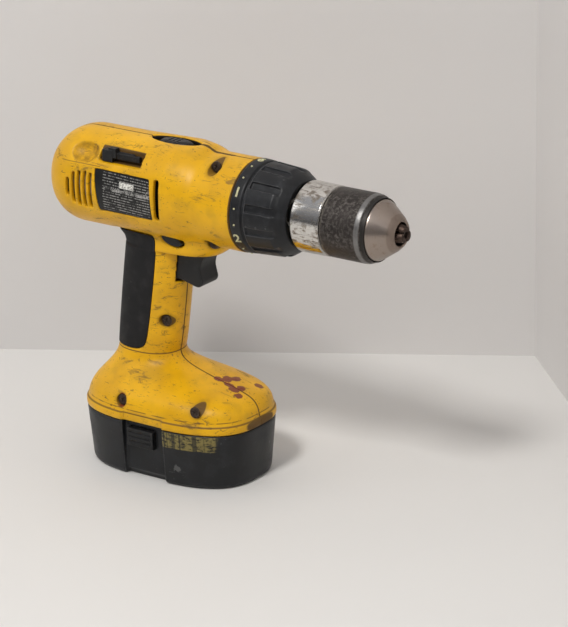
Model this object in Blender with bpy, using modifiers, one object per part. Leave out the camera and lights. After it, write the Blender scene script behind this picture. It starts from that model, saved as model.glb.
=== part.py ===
"""A pistol-grip cordless drill: +X toward the chuck, +Z up, from the middle of the battery's underside."""

import math

import bmesh
import bpy
from mathutils import Matrix, Vector

mm = 0.001
gap = 0.3 * mm  # between two pieces that touch
seam_gap = 0.3 * mm  # between the two housing halves

# Barrel
axis_height = 172.8 * mm
barrel_half = 29.5 * mm
barrel_top = 30.9 * mm
barrel_bottom = 28.4 * mm
barrel_rear = -86.0 * mm
dome_length = 29.0 * mm
step_start = 23.0 * mm
step_end = 33.0 * mm
front_radius = 28.3 * mm
barrel_front = 59.0 * mm
wall = 2.8 * mm

# Handle
handle_half = 16.8 * mm
ledge_height = 138.2 * mm
handle_foot_height = 72.0 * mm

# Foot and battery
foot_half_length = 59.4 * mm
foot_half_width = 39.3 * mm
foot_bottom = 35.3 * mm
pack_draft = 3.0 * mm
cap_height = 46.0 * mm
stem_height = 96.0 * mm
cell_radius = 10.4 * mm

# Motor and gears
can_radius = 22.5 * mm
can_rear = -61.7 * mm
can_front = -4.8 * mm
tooth_module = 0.875 * mm
sun_teeth = 10
planet_teeth = 14
ring_teeth = sun_teeth + 2 * planet_teeth
planet_orbit = tooth_module * (sun_teeth + planet_teeth) / 2
pin_radius = 2.0 * mm
carrier_radius = planet_orbit + 3.0 * mm
ring_outer = tooth_module * ring_teeth / 2 + 2.7 * mm
spindle_radius = 6.0 * mm
tube_radius = 13.2 * mm

# Torque collar and chuck
collar_rear = 59.4 * mm
collar_front = 94.0 * mm
collar_radius = 27.9 * mm
ring_rear = 96.5 * mm
ring_front = 116.3 * mm
sleeve_front = 146.2 * mm
chuck_radius = 21.0 * mm
nose_front = 157.2 * mm
jaw_tip = 163.6 * mm
jaw_radius = 3.2 * mm
jaw_angle = math.radians(14)
jaw_length = 34.0 * mm

# Trigger, buttons and screws
trigger_half = 8.6 * mm
screw_hole = 4.0 * mm

black_plastic = (0.018, 0.018, 0.02)
yellow_plastic = (0.80, 0.43, 0.02)
bare_steel = (0.55, 0.54, 0.52)
dark_steel = (0.16, 0.155, 0.15)
brass = (0.62, 0.42, 0.16)

for old in list(bpy.data.objects):
    bpy.data.objects.remove(old, do_unlink=True)

parts = bpy.data.collections.new("cordless_drill")
cutters = bpy.data.collections.new("cutters")
bpy.context.scene.collection.children.link(parts)
bpy.context.scene.collection.children.link(cutters)


def new_object(name, mesh):
    obj = bpy.data.objects.new(name, mesh)
    cutters.objects.link(obj)
    obj.hide_render = True
    obj.display_type = "WIRE"
    return obj


def freeze(obj):
    """Replaces the object's data with what its modifiers make of it, welded and facing out."""
    bpy.context.view_layer.update()
    made = bpy.data.meshes.new_from_object(obj.evaluated_get(bpy.context.evaluated_depsgraph_get()))
    shape = bmesh.new()
    shape.from_mesh(made)
    bmesh.ops.remove_doubles(shape, verts=shape.verts, dist=0.000002)
    bmesh.ops.dissolve_degenerate(shape, edges=shape.edges, dist=0.000002)
    bmesh.ops.recalc_face_normals(shape, faces=shape.faces)
    shape.to_mesh(made)
    shape.free()
    if obj.type == "MESH":
        obj.modifiers.clear()
        obj.data = made
        return obj
    name = obj.name
    place = obj.matrix_world.copy()
    bpy.data.objects.remove(obj, do_unlink=True)
    solid = new_object(name, made)
    solid.matrix_world = place
    return solid


def boolean(target, other, operation, keep=False):
    modifier = target.modifiers.new("join", "BOOLEAN")
    modifier.operation = operation
    modifier.solver = "EXACT"
    modifier.object = other
    freeze(target)
    if not keep:
        bpy.data.objects.remove(other, do_unlink=True)
    return target


def cut(target, *others, keep=False):
    for other in others:
        boolean(target, other, "DIFFERENCE", keep)
    return target


def join(target, *others, keep=False):
    for other in others:
        boolean(target, other, "UNION", keep)
    return target


def overlap(target, other, keep=False):
    return boolean(target, other, "INTERSECT", keep)


def copy_of(obj, name):
    twin = new_object(name, obj.data.copy())
    twin.matrix_world = obj.matrix_world.copy()
    return twin


def box(name, low, high):
    """A block between two corners."""
    shape = bmesh.new()
    middle = [(a + b) / 2 for a, b in zip(low, high)]
    size = [b - a for a, b in zip(low, high)]
    bmesh.ops.create_cube(
        shape,
        size=1,
        matrix=Matrix.Translation(middle) @ Matrix.Diagonal((*size, 1)),
    )
    mesh = bpy.data.meshes.new(name)
    shape.to_mesh(mesh)
    shape.free()
    return new_object(name, mesh)


def rod(name, start, end, radius, sides=20):
    """A round rod from one point to another."""
    start = Vector(start)
    end = Vector(end)
    run = end - start
    shape = bmesh.new()
    place = Matrix.Translation((start + end) / 2) @ run.to_track_quat("Z", "Y").to_matrix().to_4x4()
    bmesh.ops.create_cone(
        shape,
        cap_ends=True,
        segments=sides,
        radius1=radius,
        radius2=radius,
        depth=run.length,
        matrix=place,
    )
    mesh = bpy.data.meshes.new(name)
    shape.to_mesh(mesh)
    shape.free()
    return new_object(name, mesh)


def ball(name, centre, radii, detail=16):
    shape = bmesh.new()
    place = Matrix.Translation(centre) @ Matrix.Diagonal((*radii, 1))
    bmesh.ops.create_uvsphere(shape, u_segments=detail, v_segments=detail // 2, radius=1, matrix=place)
    mesh = bpy.data.meshes.new(name)
    shape.to_mesh(mesh)
    shape.free()
    return new_object(name, mesh)


def turned(name, profile, steps=24, height=axis_height):
    """A shape turned about the barrel's axis, from (x, radius) points that run round its section."""
    mesh = bpy.data.meshes.new(name)
    points = [(radius, 0, x) for x, radius in profile]
    closed = profile[0][1] > 0 or profile[-1][1] > 0
    edges = [(i, i + 1) for i in range(len(points) - 1)]
    if closed:
        edges.append((len(points) - 1, 0))
    mesh.from_pydata(points, edges, [])
    obj = new_object(name, mesh)
    obj.location = (0, 0, height)
    obj.rotation_euler = (0, math.pi / 2, 0)
    screw = obj.modifiers.new("turn", "SCREW")
    screw.steps = steps
    screw.render_steps = steps
    screw.use_merge_vertices = True
    screw.merge_threshold = 0.00001
    return freeze(obj)


def flat(name, loops, thickness, place):
    """A plate from closed outlines, the first the outer one, centred on its middle plane."""
    curve = bpy.data.curves.new(name, "CURVE")
    curve.dimensions = "2D"
    curve.fill_mode = "BOTH"
    curve.extrude = thickness / 2
    for loop in loops:
        spline = curve.splines.new("POLY")
        spline.points.add(len(loop) - 1)
        spline.use_cyclic_u = True
        for point, (u, v) in zip(spline.points, loop):
            point.co = (u, v, 0, 1)
    obj = new_object(name, curve)
    obj.matrix_world = place
    bpy.context.view_layer.update()
    return freeze(obj)


def side_plate(name, outline, low, high):
    """A plate whose outline is given in (x, z) and which runs from low to high along Y."""
    turn = Matrix(((1, 0, 0, 0), (0, 0, -1, 0), (0, 1, 0, 0), (0, 0, 0, 1)))
    return flat(name, [outline], high - low, Matrix.Translation((0, (low + high) / 2, 0)) @ turn)


def circle(radius, sides):
    steps = [2 * math.pi * i / sides for i in range(sides)]
    return [(radius * math.cos(a), radius * math.sin(a)) for a in steps]


def gear_outline(teeth, inner_facing=False, turn=0.0):
    """A toothed outline with a tooth centred on the angle turn."""
    pitch = tooth_module * teeth / 2
    side = -1 if inner_facing else 1
    tip = pitch + side * 0.8 * tooth_module
    root = pitch - side * 1.1 * tooth_module
    half = math.pi / (2 * teeth) - 0.11 * tooth_module / pitch
    narrow = half - 0.8 * tooth_module * math.tan(math.radians(24)) / pitch
    wide = half + 1.0 * tooth_module * math.tan(math.radians(20)) / pitch
    points = []
    for i in range(teeth):
        middle = turn + 2 * math.pi * i / teeth
        for radius, angle in ((root, -wide), (tip, -narrow), (tip, narrow), (root, wide)):
            points.append((radius * math.cos(middle + angle), radius * math.sin(middle + angle)))
    return points


def across(x0, x1, y=0.0, z=axis_height):
    """Places a plate's outline in the YZ plane, its middle between x0 and x1."""
    turn = Matrix(((0, 0, 1, 0), (1, 0, 0, 0), (0, 1, 0, 0), (0, 0, 0, 1)))
    return Matrix.Translation(((x0 + x1) / 2, y, z)) @ turn


def gear(name, x0, x1, loops, y=0.0, z=axis_height):
    return flat(name, loops, x1 - x0, across(x0, x1, y, z))


def loft(name, rings):
    """A skin through rings of equal count, with a cap on each end."""
    shape = bmesh.new()
    rows = [[shape.verts.new(point) for point in ring] for ring in rings]
    for first, second in zip(rows, rows[1:]):
        for i in range(len(first)):
            j = (i + 1) % len(first)
            shape.faces.new((first[i], first[j], second[j], second[i]))
    shape.faces.new(rows[0])
    shape.faces.new(rows[-1])
    bmesh.ops.recalc_face_normals(shape, faces=shape.faces)
    mesh = bpy.data.meshes.new(name)
    shape.to_mesh(mesh)
    shape.free()
    return new_object(name, mesh)


def signed_power(value, power):
    return math.copysign(abs(value) ** power, value)


def oval(half_u, half_v_up, half_v_down, power, count):
    points = []
    for i in range(count):
        angle = 2 * math.pi * (i + 0.5) / count
        u = half_u * signed_power(math.cos(angle), 2 / power)
        side = half_v_up if math.sin(angle) > 0 else half_v_down
        points.append((u, side * signed_power(math.sin(angle), 2 / power)))
    return points


def barrel_ring(x, half, top, bottom, power=2.2, count=20):
    return [(x, u, axis_height + v) for u, v in oval(half, top, bottom, power, count)]


def level_ring(z, back, front, half, power, count=20):
    middle = (back + front) / 2
    reach = (front - back) / 2
    return [(middle + u, v, z) for u, v in oval(reach, half, half, power, count)]


def blend(a, b, share):
    share = min(max(share, 0.0), 1.0)
    share = share * share * (3 - 2 * share)
    return a + (b - a) * share


def barrel(name, grow):
    """The barrel: a dome at the rear, a full motor section, and a round front."""
    rings = []
    reach = dome_length + grow
    start = barrel_rear + dome_length
    for step in range(1, 6):
        angle = math.radians(18 * step)
        share = math.sin(angle)
        size = (barrel_half + grow, barrel_top + grow, barrel_bottom + grow)
        rings.append(barrel_ring(start - reach * math.cos(angle), *(s * share for s in size)))
    stations = (step_start, (step_start + step_end) / 2, step_end, barrel_front)
    for x in stations:
        share = (x - step_start) / (step_end - step_start)
        half = blend(barrel_half, front_radius, share) + grow
        top = blend(barrel_top, front_radius - 0.6 * mm, share) + grow
        bottom = blend(barrel_bottom, front_radius, share) + grow
        power = blend(2.2, 2.0, share)
        end = x - grow * 4 if x == barrel_front and grow < 0 else x
        rings.append(barrel_ring(end, half, top, bottom, power))
    return loft(name, rings)


def handle_reach(z):
    """The handle's back and front at a height, before any growth."""
    share = (z - handle_foot_height) / (ledge_height - handle_foot_height)
    back = -40.5 * mm + 8.0 * mm * min(max(share, 0), 1) ** 1.25
    front = 0.8 * mm + 9.4 * mm * min(max(share, 0), 1) ** 0.8
    return back, front


def handle(name, grow, ledge_moves=True):
    """The handle, with a ledge above the trigger and a tail that runs into the barrel."""
    ledge = ledge_height - (grow if ledge_moves else 0)
    rings = []
    heights = [58 * mm, handle_foot_height, 88 * mm, 104 * mm, 120 * mm, ledge - 0.2 * mm]
    for z in heights:
        back, front = handle_reach(z)
        half = handle_half + 0.5 * mm * abs(z - 96 * mm) / (40 * mm)
        rings.append(level_ring(z, back - grow, front + grow, half + grow, 2.3))
    upper = (
        (ledge, -33.0 * mm, 33.0 * mm, 17.4 * mm),
        (ledge + 3.5 * mm, -34.5 * mm, 38.0 * mm, 17.4 * mm),
        (ledge + 8.0 * mm, -40.0 * mm, 44.0 * mm, 17.2 * mm),
        (ledge + 12.0 * mm, -49.0 * mm, 50.0 * mm, 17.0 * mm),
        (ledge + 19.0 * mm, -54.0 * mm, 52.0 * mm, 17.0 * mm),
    )
    for z, back, front, half in upper:
        rings.append(level_ring(z, back - grow, front + grow, half + grow, 2.4))
    return loft(name, rings)


foot_rows = (
    (0.0, 0.0, 0.0, 0.0, 2.8),
    (4.6, 0.0, 0.0, 0.0, 2.8),
    (5.3, 1.3, 1.3, 1.2, 2.8),
    (8.0, 1.5, 1.6, 1.5, 2.8),
    (12.0, 3.0, 3.0, 2.6, 2.8),
    (16.0, 5.0, 7.0, 4.8, 2.7),
    (19.5, 7.4, 16.5, 8.4, 2.5),
    (24.0, 11.4, 35.0, 14.0, 2.4),
    (28.5, 15.0, 50.0, 18.4, 2.3),
    (32.5, 17.4, 56.8, 21.0, 2.3),
    (37.0, 18.8, 58.6, 22.2, 2.3),
)


def foot(name, grow, start=0.0):
    """The bell that takes the battery, from its open bottom edge up to the handle."""
    rings = []
    for rise, back_in, front_in, side_in, power in foot_rows:
        z = foot_bottom + rise * mm
        if rise == 0.0:
            z = foot_bottom - start
        elif rise > 10 and grow < 0:
            z += grow * 0.9
        back = -foot_half_length + back_in * mm - grow
        front = foot_half_length - front_in * mm + grow
        half = foot_half_width - side_in * mm + grow
        rings.append(level_ring(z, back, front, half, power, 28))
    return loft(name, rings)


def body_shape(name, grow=0.0, start=0.0):
    """The whole outside of the housing, grown or shrunk."""
    return join(barrel(name, grow), handle(name + "_h", grow), foot(name + "_f", grow, start))


# Housing
outer = body_shape("outer")
cavity = body_shape("cavity", -wall, 8 * mm)

rib_places = ((-58 * mm, -55.6 * mm), (-27 * mm, -24.6 * mm))
for index, (x0, x1) in enumerate(rib_places):
    rib_profile = [(x0, 40 * mm), (x0, can_radius + gap), (x1, can_radius + gap), (x1, 40 * mm)]
    rib = turned("rib", rib_profile)
    cut(rib, box("rib_trim", (-0.1, -0.1, 0.1), (0.1, 0.1, 152 * mm)))
    cut(cavity, rib)

pocket_low = 190.3 * mm
pocket_high = 198.3 * mm
pocket_floor = -18.6 * mm
boss_low = (-60 * mm, -40 * mm, pocket_low - 1.6 * mm)
boss_high = (-3.6 * mm, pocket_floor + 1.8 * mm, 0.21)
cut(cavity, box("pocket_boss", boss_low, boss_high))

screw_places = {
    "screw_front_top": (40.3 * mm, 196.2 * mm, -13.0 * mm),
    "screw_trigger": (36.5 * mm, 148.6 * mm, -12.0 * mm),
    "screw_handle": (-0.6 * mm, 93.4 * mm, -11.5 * mm),
    "screw_foot_rear": (-17.8 * mm, 46.8 * mm, -34.0 * mm),
    "screw_foot_front": (35.4 * mm, 49.6 * mm, -34.0 * mm),
}
for name, (x, z, floor) in screw_places.items():
    boss_end = floor + 2.4 * mm
    reach = screw_hole + 1.6 * mm
    if name.startswith("screw_foot"):
        cut(cavity, box("boss", (x - reach, -0.05, z - 5.6 * mm), (x + reach, boss_end, z + reach)))
    else:
        cut(cavity, rod("boss", (x, -0.05, z), (x, boss_end, z), reach, 10))

tube_room = tube_radius + gap
wall_profile = [(55.6 * mm, 40 * mm), (55.6 * mm, tube_room), (80 * mm, tube_room), (80 * mm, 40 * mm)]
cut(cavity, turned("front_wall", wall_profile))
shell = cut(outer, cavity)
cut(shell, rod("tube_hole", (50 * mm, 0, axis_height), (70 * mm, 0, axis_height), tube_room, 32))

# Openings in the housing
vent_places = ((-58.0, 6.0), (-53.8, 10.0), (-49.6, 11.3), (-45.4, 11.6), (-41.2, 11.3))
for x, reach in vent_places:
    low = (x * mm - 1.0 * mm, -0.05, axis_height - reach * mm)
    high = (x * mm + 1.0 * mm, 0.05, axis_height + (reach - 0.7) * mm)
    cut(shell, box("vent", low, high))
cut(shell, box("side_slot", (8.2 * mm, -0.05, 162.5 * mm), (11.2 * mm, 0.05, 186 * mm)))

hole_rings = [level_ring(z, -15 * mm, 20 * mm, 6.4 * mm, 1.9, 16) for z in (193 * mm, 213 * mm)]
cut(shell, loft("selector_hole", hole_rings))

trigger_room = trigger_half + gap
cut(
    shell,
    box("trigger_hole", (-2 * mm, -trigger_room, 116.4 * mm), (40 * mm, trigger_room, 138.1 * mm)),
)

knob_middle = Vector((10.0 * mm, 147.3 * mm))
knob_tilt = math.radians(-10)


def knob_outline(long_half, high_half):
    points = []
    for i in range(14):
        angle = 2 * math.pi * i / 14
        u = long_half * math.cos(angle)
        v = high_half * math.sin(angle) * (0.8 + 0.2 * abs(math.sin(angle)))
        x = knob_middle.x + u * math.cos(knob_tilt) - v * math.sin(knob_tilt)
        z = knob_middle.y + u * math.sin(knob_tilt) + v * math.cos(knob_tilt)
        points.append((x, z))
    return points


cut(shell, side_plate("knob_hole", knob_outline(8.0 * mm, 3.4 * mm), -30 * mm, 30 * mm))
for name, (x, z, floor) in screw_places.items():
    cut(shell, rod("recess", (x, -0.05, z), (x, floor, z), screw_hole, 14))
cut(shell, box("pocket", (-37.5 * mm, -40 * mm, pocket_low), (-5.6 * mm, pocket_floor, pocket_high)))
cut(shell, ball("thumb", (-48.5 * mm, -27.5 * mm, 197.2 * mm), (9.6 * mm, 9.0 * mm, 8.6 * mm)))

# Rubber grip let into the back of the handle
grip_edge = [
    (-70, 154), (-47, 150.2), (-30, 150.4), (-12, 150.2), (-4.5, 148.5), (-2.4, 144.5), (-3.2, 136),
    (-5.2, 121), (-8.4, 100), (-11.6, 81.5), (-13.6, 76), (-18.4, 73.6), (-26, 73.2), (-70, 73),
]


def grip_block(name, inset):
    outline = [(x * mm - (inset if x > -40 else 0), z * mm) for x, z in grip_edge]
    middle_z = 112 * mm
    outline = [(x, z - math.copysign(inset, z - middle_z)) for x, z in outline]
    return side_plate(name, outline, -30 * mm, 30 * mm)


recess = overlap(handle("recess_skin", 3 * mm, False), grip_block("recess_block", 0))
cut(recess, handle("recess_core", -2.0 * mm, False), barrel("lower_barrel", -0.2 * mm))
cut(shell, recess)
grip = cut(handle("grip", 0), handle("grip_core", -1.6 * mm, False))
overlap(grip, grip_block("grip_limit", gap))
cut(grip, barrel("barrel_clear", 0.4 * mm))


def plate_block(name, inset):
    outline = []
    for x, z in ((-34.8, 186.2), (4.4, 186.4), (6.0, 161.4), (-32.2, 160.8)):
        from_middle_x = math.copysign(inset, x + 14)
        from_middle_z = math.copysign(inset, z - 173.5)
        outline.append((x * mm - from_middle_x, z * mm - from_middle_z))
    return side_plate(name, outline, -40 * mm, -15 * mm)


label_recess = cut(plate_block("label_recess", 0), barrel("label_core", -0.9 * mm))
cut(shell, label_recess)
nameplate = overlap(plate_block("nameplate", gap), barrel("label_skin", -0.25 * mm))
cut(nameplate, barrel("label_back", -0.65 * mm))

half_box_low = box("right_half", (-0.2, -0.1, -0.1), (0.2, -seam_gap / 2, 0.3))
half_box_high = box("left_half", (-0.2, seam_gap / 2, -0.1), (0.2, 0.1, 0.3))
housing_right = copy_of(shell, "housing_right")
housing_left = copy_of(shell, "housing_left")
overlap(housing_right, half_box_low, keep=True)
overlap(housing_left, half_box_high, keep=True)
grip_right = copy_of(grip, "grip_right")
grip_left = copy_of(grip, "grip_left")
overlap(grip_right, half_box_low)
overlap(grip_left, half_box_high)
bpy.data.objects.remove(shell, do_unlink=True)
bpy.data.objects.remove(grip, do_unlink=True)

screws = []
for name, (x, z, floor) in screw_places.items():
    head = rod(name, (x, floor - gap, z), (x, floor - gap - 2.2 * mm, z), screw_hole - 0.6 * mm, 12)
    cut(head, rod("drive", (x, floor - 1.4 * mm, z), (x, floor - 6 * mm, z), 1.4 * mm, 6))
    screws.append(head)

clip_back = pocket_floor - gap
bit_clip = box(
    "bit_clip",
    (-33 * mm, clip_back - 1.2 * mm, 192.2 * mm),
    (-14 * mm, clip_back, 196.6 * mm),
)
clip_arms = (
    (-32, -29.6, 190.8, 197.9, 4.2),
    (-29.8, -20, 193.0, 195.8, 2.2),
    (-17, -14.6, 190.8, 197.9, 3.4),
)
for x0, x1, z0, z1, out in clip_arms:
    low = (x0 * mm, clip_back - out * mm, z0 * mm)
    join(bit_clip, box("arm", low, (x1 * mm, clip_back - 0.4 * mm, z1 * mm)))

# Motor
motor_can = turned("motor_can", [
    (can_rear, can_radius), (can_front, can_radius), (can_front, 4 * mm), (can_front - 2 * mm, 4 * mm),
    (can_front - 2 * mm, can_radius - 2 * mm), (can_rear, can_radius - 2 * mm),
])
end_cap = turned("motor_end_cap", [
    (can_rear - 4.6 * mm, can_radius), (can_rear - gap, can_radius), (can_rear - gap, 3.2 * mm),
    (can_rear - 6.4 * mm, 3.2 * mm), (can_rear - 6.4 * mm, 8 * mm), (can_rear - 4.6 * mm, 8 * mm),
])
for side in (1, -1):
    arm_z = sorted((axis_height + side * 9.4 * mm, axis_height + side * 18.5 * mm))
    window_z = sorted((axis_height + side * 1 * mm, axis_height + side * 30 * mm))
    join(
        end_cap,
        box("arm", (can_rear - 1 * mm, -4.4 * mm, arm_z[0]), (-50.8 * mm, 4.4 * mm, arm_z[1])),
    )
    cut(end_cap, box("window", (-58 * mm, -2.3 * mm, window_z[0]), (-52.4 * mm, 2.3 * mm, window_z[1])))
brushes = []
for name, side in (("brush_upper", 1), ("brush_lower", -1)):
    ends = sorted((axis_height + side * 6.9 * mm, axis_height + side * 16 * mm))
    brushes.append(box(name, (-57.7 * mm, -2 * mm, ends[0]), (-52.7 * mm, 2 * mm, ends[1])))
magnets = []
for name, middle in (("magnet_upper", 90), ("magnet_lower", 270)):
    sweep = [math.radians(middle - 62 + 124 * i / 12) for i in range(13)]
    arc = [(20.2 * mm * math.cos(a), 20.2 * mm * math.sin(a)) for a in sweep]
    arc += [(16.6 * mm * math.cos(a), 16.6 * mm * math.sin(a)) for a in reversed(sweep)]
    magnets.append(gear(name, -46 * mm, -14 * mm, [arc]))
armature = turned("armature", [
    (-70 * mm, 0), (-70 * mm, 2.5 * mm), (-48.6 * mm, 2.5 * mm), (-48.6 * mm, 9 * mm),
    (-47 * mm, 12.6 * mm),
    (-44 * mm, 12.6 * mm), (-44 * mm, 15.8 * mm), (-16 * mm, 15.8 * mm), (-16 * mm, 12.6 * mm),
    (-13 * mm, 12.6 * mm), (-12 * mm, 9 * mm), (-12 * mm, 2.5 * mm), (-0.6 * mm, 2.5 * mm),
    (-0.6 * mm, 1.8 * mm), (8.8 * mm, 1.8 * mm), (8.8 * mm, 0),
], 20)
commutator = turned(
    "commutator",
    [(-59 * mm, 6.5 * mm), (-49.2 * mm, 6.5 * mm), (-49.2 * mm, 2.8 * mm), (-59 * mm, 2.8 * mm)],
    20,
)
blades = []
for i in range(8):
    for radius, angle in ((7 * mm, -16), (16.4 * mm, -8), (16.4 * mm, 6), (7 * mm, 10)):
        turn_by = math.radians(45 * i + angle)
        blades.append((radius * math.cos(turn_by), radius * math.sin(turn_by)))
motor_fan = gear("motor_fan", -11.4 * mm, -7.4 * mm, [blades, circle(2.8 * mm, 12)])

# Gears
pinion = gear("pinion_gear", 1.2 * mm, 8.8 * mm, [gear_outline(sun_teeth), circle(2.1 * mm, 12)])
ring_loops = [circle(ring_outer, 20), gear_outline(ring_teeth, True)]
ring_one = gear("ring_gear_one", 1.0 * mm, 8.7 * mm, ring_loops)
ring_two = gear("ring_gear_two", 13.2 * mm, 20.6 * mm, ring_loops)


def carrier_pins(target, x0, x1):
    for i in range(3):
        angle = 2 * math.pi * i / 3
        y = planet_orbit * math.cos(angle)
        z = axis_height + planet_orbit * math.sin(angle)
        join(target, rod("pin", (x0, y, z), (x1, y, z), pin_radius, 8))
    return target


planets = []
for stage, (x0, x1) in (("one", (1.3 * mm, 8.5 * mm)), ("two", (13.3 * mm, 20.7 * mm))):
    for i in range(3):
        angle = 2 * math.pi * i / 3
        y = planet_orbit * math.cos(angle)
        z = axis_height + planet_orbit * math.sin(angle)
        loops = [gear_outline(planet_teeth, turn=math.pi / planet_teeth), circle(pin_radius + gap, 8)]
        planets.append(gear(f"planet_{stage}_{i + 1}", x0, x1, loops, y, z))
carrier = gear("planet_carrier", 11.0 * mm, 20.9 * mm, [gear_outline(sun_teeth)])
disc_profile = [(9.2 * mm, 0), (9.2 * mm, carrier_radius), (11.6 * mm, carrier_radius), (11.6 * mm, 0)]
join(carrier, turned("carrier_disc", disc_profile, 24))
carrier_pins(carrier, 1.8 * mm, 10 * mm)
spindle = turned("spindle", [
    (21.4 * mm, 0), (21.4 * mm, carrier_radius), (24.4 * mm, carrier_radius),
    (24.4 * mm, spindle_radius),
    (110.4 * mm, spindle_radius), (110.4 * mm, 3.2 * mm), (99 * mm, 3.2 * mm), (99 * mm, 0),
], 24)
carrier_pins(spindle, 13.8 * mm, 22.4 * mm)
gearcase = turned("gearcase", [
    (-4.5 * mm, can_radius), (27 * mm, can_radius), (33 * mm, tube_radius), (86 * mm, tube_radius),
    (86 * mm, 8.6 * mm),
    (27.6 * mm, 8.6 * mm), (25 * mm, 19.9 * mm), (-4.5 * mm, 19.9 * mm),
], 24)
cut(gearcase, box("fork_slot", (10.4 * mm, -3 * mm, 190 * mm), (23.8 * mm, 3 * mm, 198 * mm)))
bearing_bore = spindle_radius + gap
bearing = turned("spindle_bearing", [
    (72 * mm, 8.3 * mm), (84 * mm, 8.3 * mm), (84 * mm, bearing_bore), (72 * mm, bearing_bore),
], 20)

# Speed selector
plate_top = 198.9 * mm
plate_outline = [(1.2 * mm + u, v) for u, v in oval(20.3 * mm, 7.6 * mm, 7.6 * mm, 3, 20)]
plate_place = Matrix.Translation((0, 0, plate_top - 0.8 * mm))
speed_selector = flat("speed_selector", [plate_outline], 1.6 * mm, plate_place)
pad_rings = [
    level_ring(plate_top - 0.6 * mm, -9.6 * mm, 14.6 * mm, 5.4 * mm, 2.2, 16),
    level_ring(202.4 * mm, -8.6 * mm, 13.6 * mm, 5.0 * mm, 2.2, 16),
    level_ring(203.6 * mm, -5.5 * mm, 10.5 * mm, 3.8 * mm, 2.2, 16),
]
join(speed_selector, loft("thumb_pad", pad_rings))
fork_low = (14.6 * mm, -2.2 * mm, axis_height + ring_outer + gap)
fork_high = (19.2 * mm, 2.2 * mm, plate_top - 1.6 * mm - gap)
shift_fork = box("shift_fork", fork_low, fork_high)

# Clutch and torque collar
torque_collar = turned("torque_collar", [
    (collar_rear, collar_radius), (66.2 * mm, 27.5 * mm), (66.6 * mm, 27.1 * mm),
    (68.4 * mm, 27.2 * mm), (86.0 * mm, 25.8 * mm),
    (91.6 * mm, 22.6 * mm), (collar_front, 20.2 * mm), (collar_front - 0.8 * mm, 18.6 * mm),
    (89.5 * mm, 16.5 * mm),
    (88.6 * mm, tube_radius + gap), (84.4 * mm, tube_radius + gap), (84.0 * mm, 21.4 * mm),
    (62.0 * mm, 24.4 * mm), (collar_rear, 24.4 * mm),
], 32)
for i in range(12):
    angle = 2 * math.pi * (i + 0.5) / 12
    spread = Matrix.Translation((0, 0, axis_height)) @ Matrix.Rotation(angle, 4, "X")
    groove = box("groove", (68.6 * mm, -1.6 * mm, 31.4 * mm), (84.2 * mm, 1.6 * mm, 37 * mm))
    groove.matrix_world = spread @ Matrix.Rotation(math.radians(4.6), 4, "Y")
    cut(torque_collar, groove)
clutch_nut = turned("clutch_nut", [
    (79.4 * mm, 20.6 * mm), (83.4 * mm, 20.6 * mm), (83.4 * mm, tube_room), (79.4 * mm, tube_room),
], 24)
coil = bpy.data.curves.new("clutch_spring", "CURVE")
coil.dimensions = "3D"
coil.bevel_depth = 1.1 * mm
coil.bevel_resolution = 1
coil.use_fill_caps = True
turns = 3.6
per_turn = 10
run = coil.splines.new("POLY")
run.points.add(int(turns * per_turn))
for i, point in enumerate(run.points):
    angle = 2 * math.pi * i / per_turn
    x = 61.2 * mm + 16.6 * mm * i / (turns * per_turn)
    point.co = (x, 17.3 * mm * math.cos(angle), axis_height + 17.3 * mm * math.sin(angle), 1)
clutch_spring = freeze(new_object("clutch_spring", coil))

# Chuck
chuck_body = turned("chuck_body", [
    (94.9 * mm, 6.3 * mm), (94.9 * mm, 10.5 * mm), (97.0 * mm, 13.6 * mm), (104.0 * mm, 13.6 * mm),
    (104.4 * mm, 17.6 * mm),
    (120.4 * mm, 17.6 * mm), (120.4 * mm, 15.5 * mm), (128.6 * mm, 15.5 * mm), (128.6 * mm, 17.6 * mm),
    (sleeve_front + 0.2 * mm, 17.9 * mm), (nose_front, 10.3 * mm), (nose_front, 6.9 * mm),
    (140 * mm, 6.9 * mm), (138 * mm, 5.2 * mm),
    (113 * mm, 5.2 * mm), (113 * mm, 3.3 * mm), (110.8 * mm, 3.3 * mm), (110.8 * mm, 6.3 * mm),
], 24)
rear_sleeve = turned("chuck_rear_sleeve", [
    (ring_rear, 20.3 * mm), (ring_rear + 0.8 * mm, chuck_radius), (115.4 * mm, 20.7 * mm),
    (ring_front, 20.0 * mm), (ring_front, 18.9 * mm),
    (103.8 * mm, 18.9 * mm), (103.6 * mm, 13.9 * mm), (ring_rear + 0.9 * mm, 13.9 * mm),
], 32)
front_sleeve = turned("chuck_front_sleeve", [
    (ring_front + gap, 20.0 * mm), (117.6 * mm, 20.5 * mm), (139.0 * mm, 20.4 * mm),
    (141.4 * mm, 19.8 * mm), (141.8 * mm, 19.4 * mm),
    (sleeve_front, 18.7 * mm), (sleeve_front, 18.25 * mm), (135 * mm, 18.25 * mm),
    (134.4 * mm, 18.9 * mm), (ring_front + gap, 18.9 * mm),
], 32)
chuck_nut = turned("chuck_nut", [
    (120.8 * mm, 18.5 * mm), (128.2 * mm, 18.5 * mm), (128.2 * mm, 15.9 * mm), (120.8 * mm, 15.9 * mm),
], 24)
chuck_screw = turned("chuck_screw", [
    (100 * mm, 0), (100 * mm, 2.9 * mm), (113.3 * mm, 2.9 * mm), (113.3 * mm, 4.3 * mm),
    (116.4 * mm, 4.3 * mm),
    (116.4 * mm, 0),
], 20)
jaw_cross = jaw_tip + 6.4 * mm
jaws = []
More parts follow.
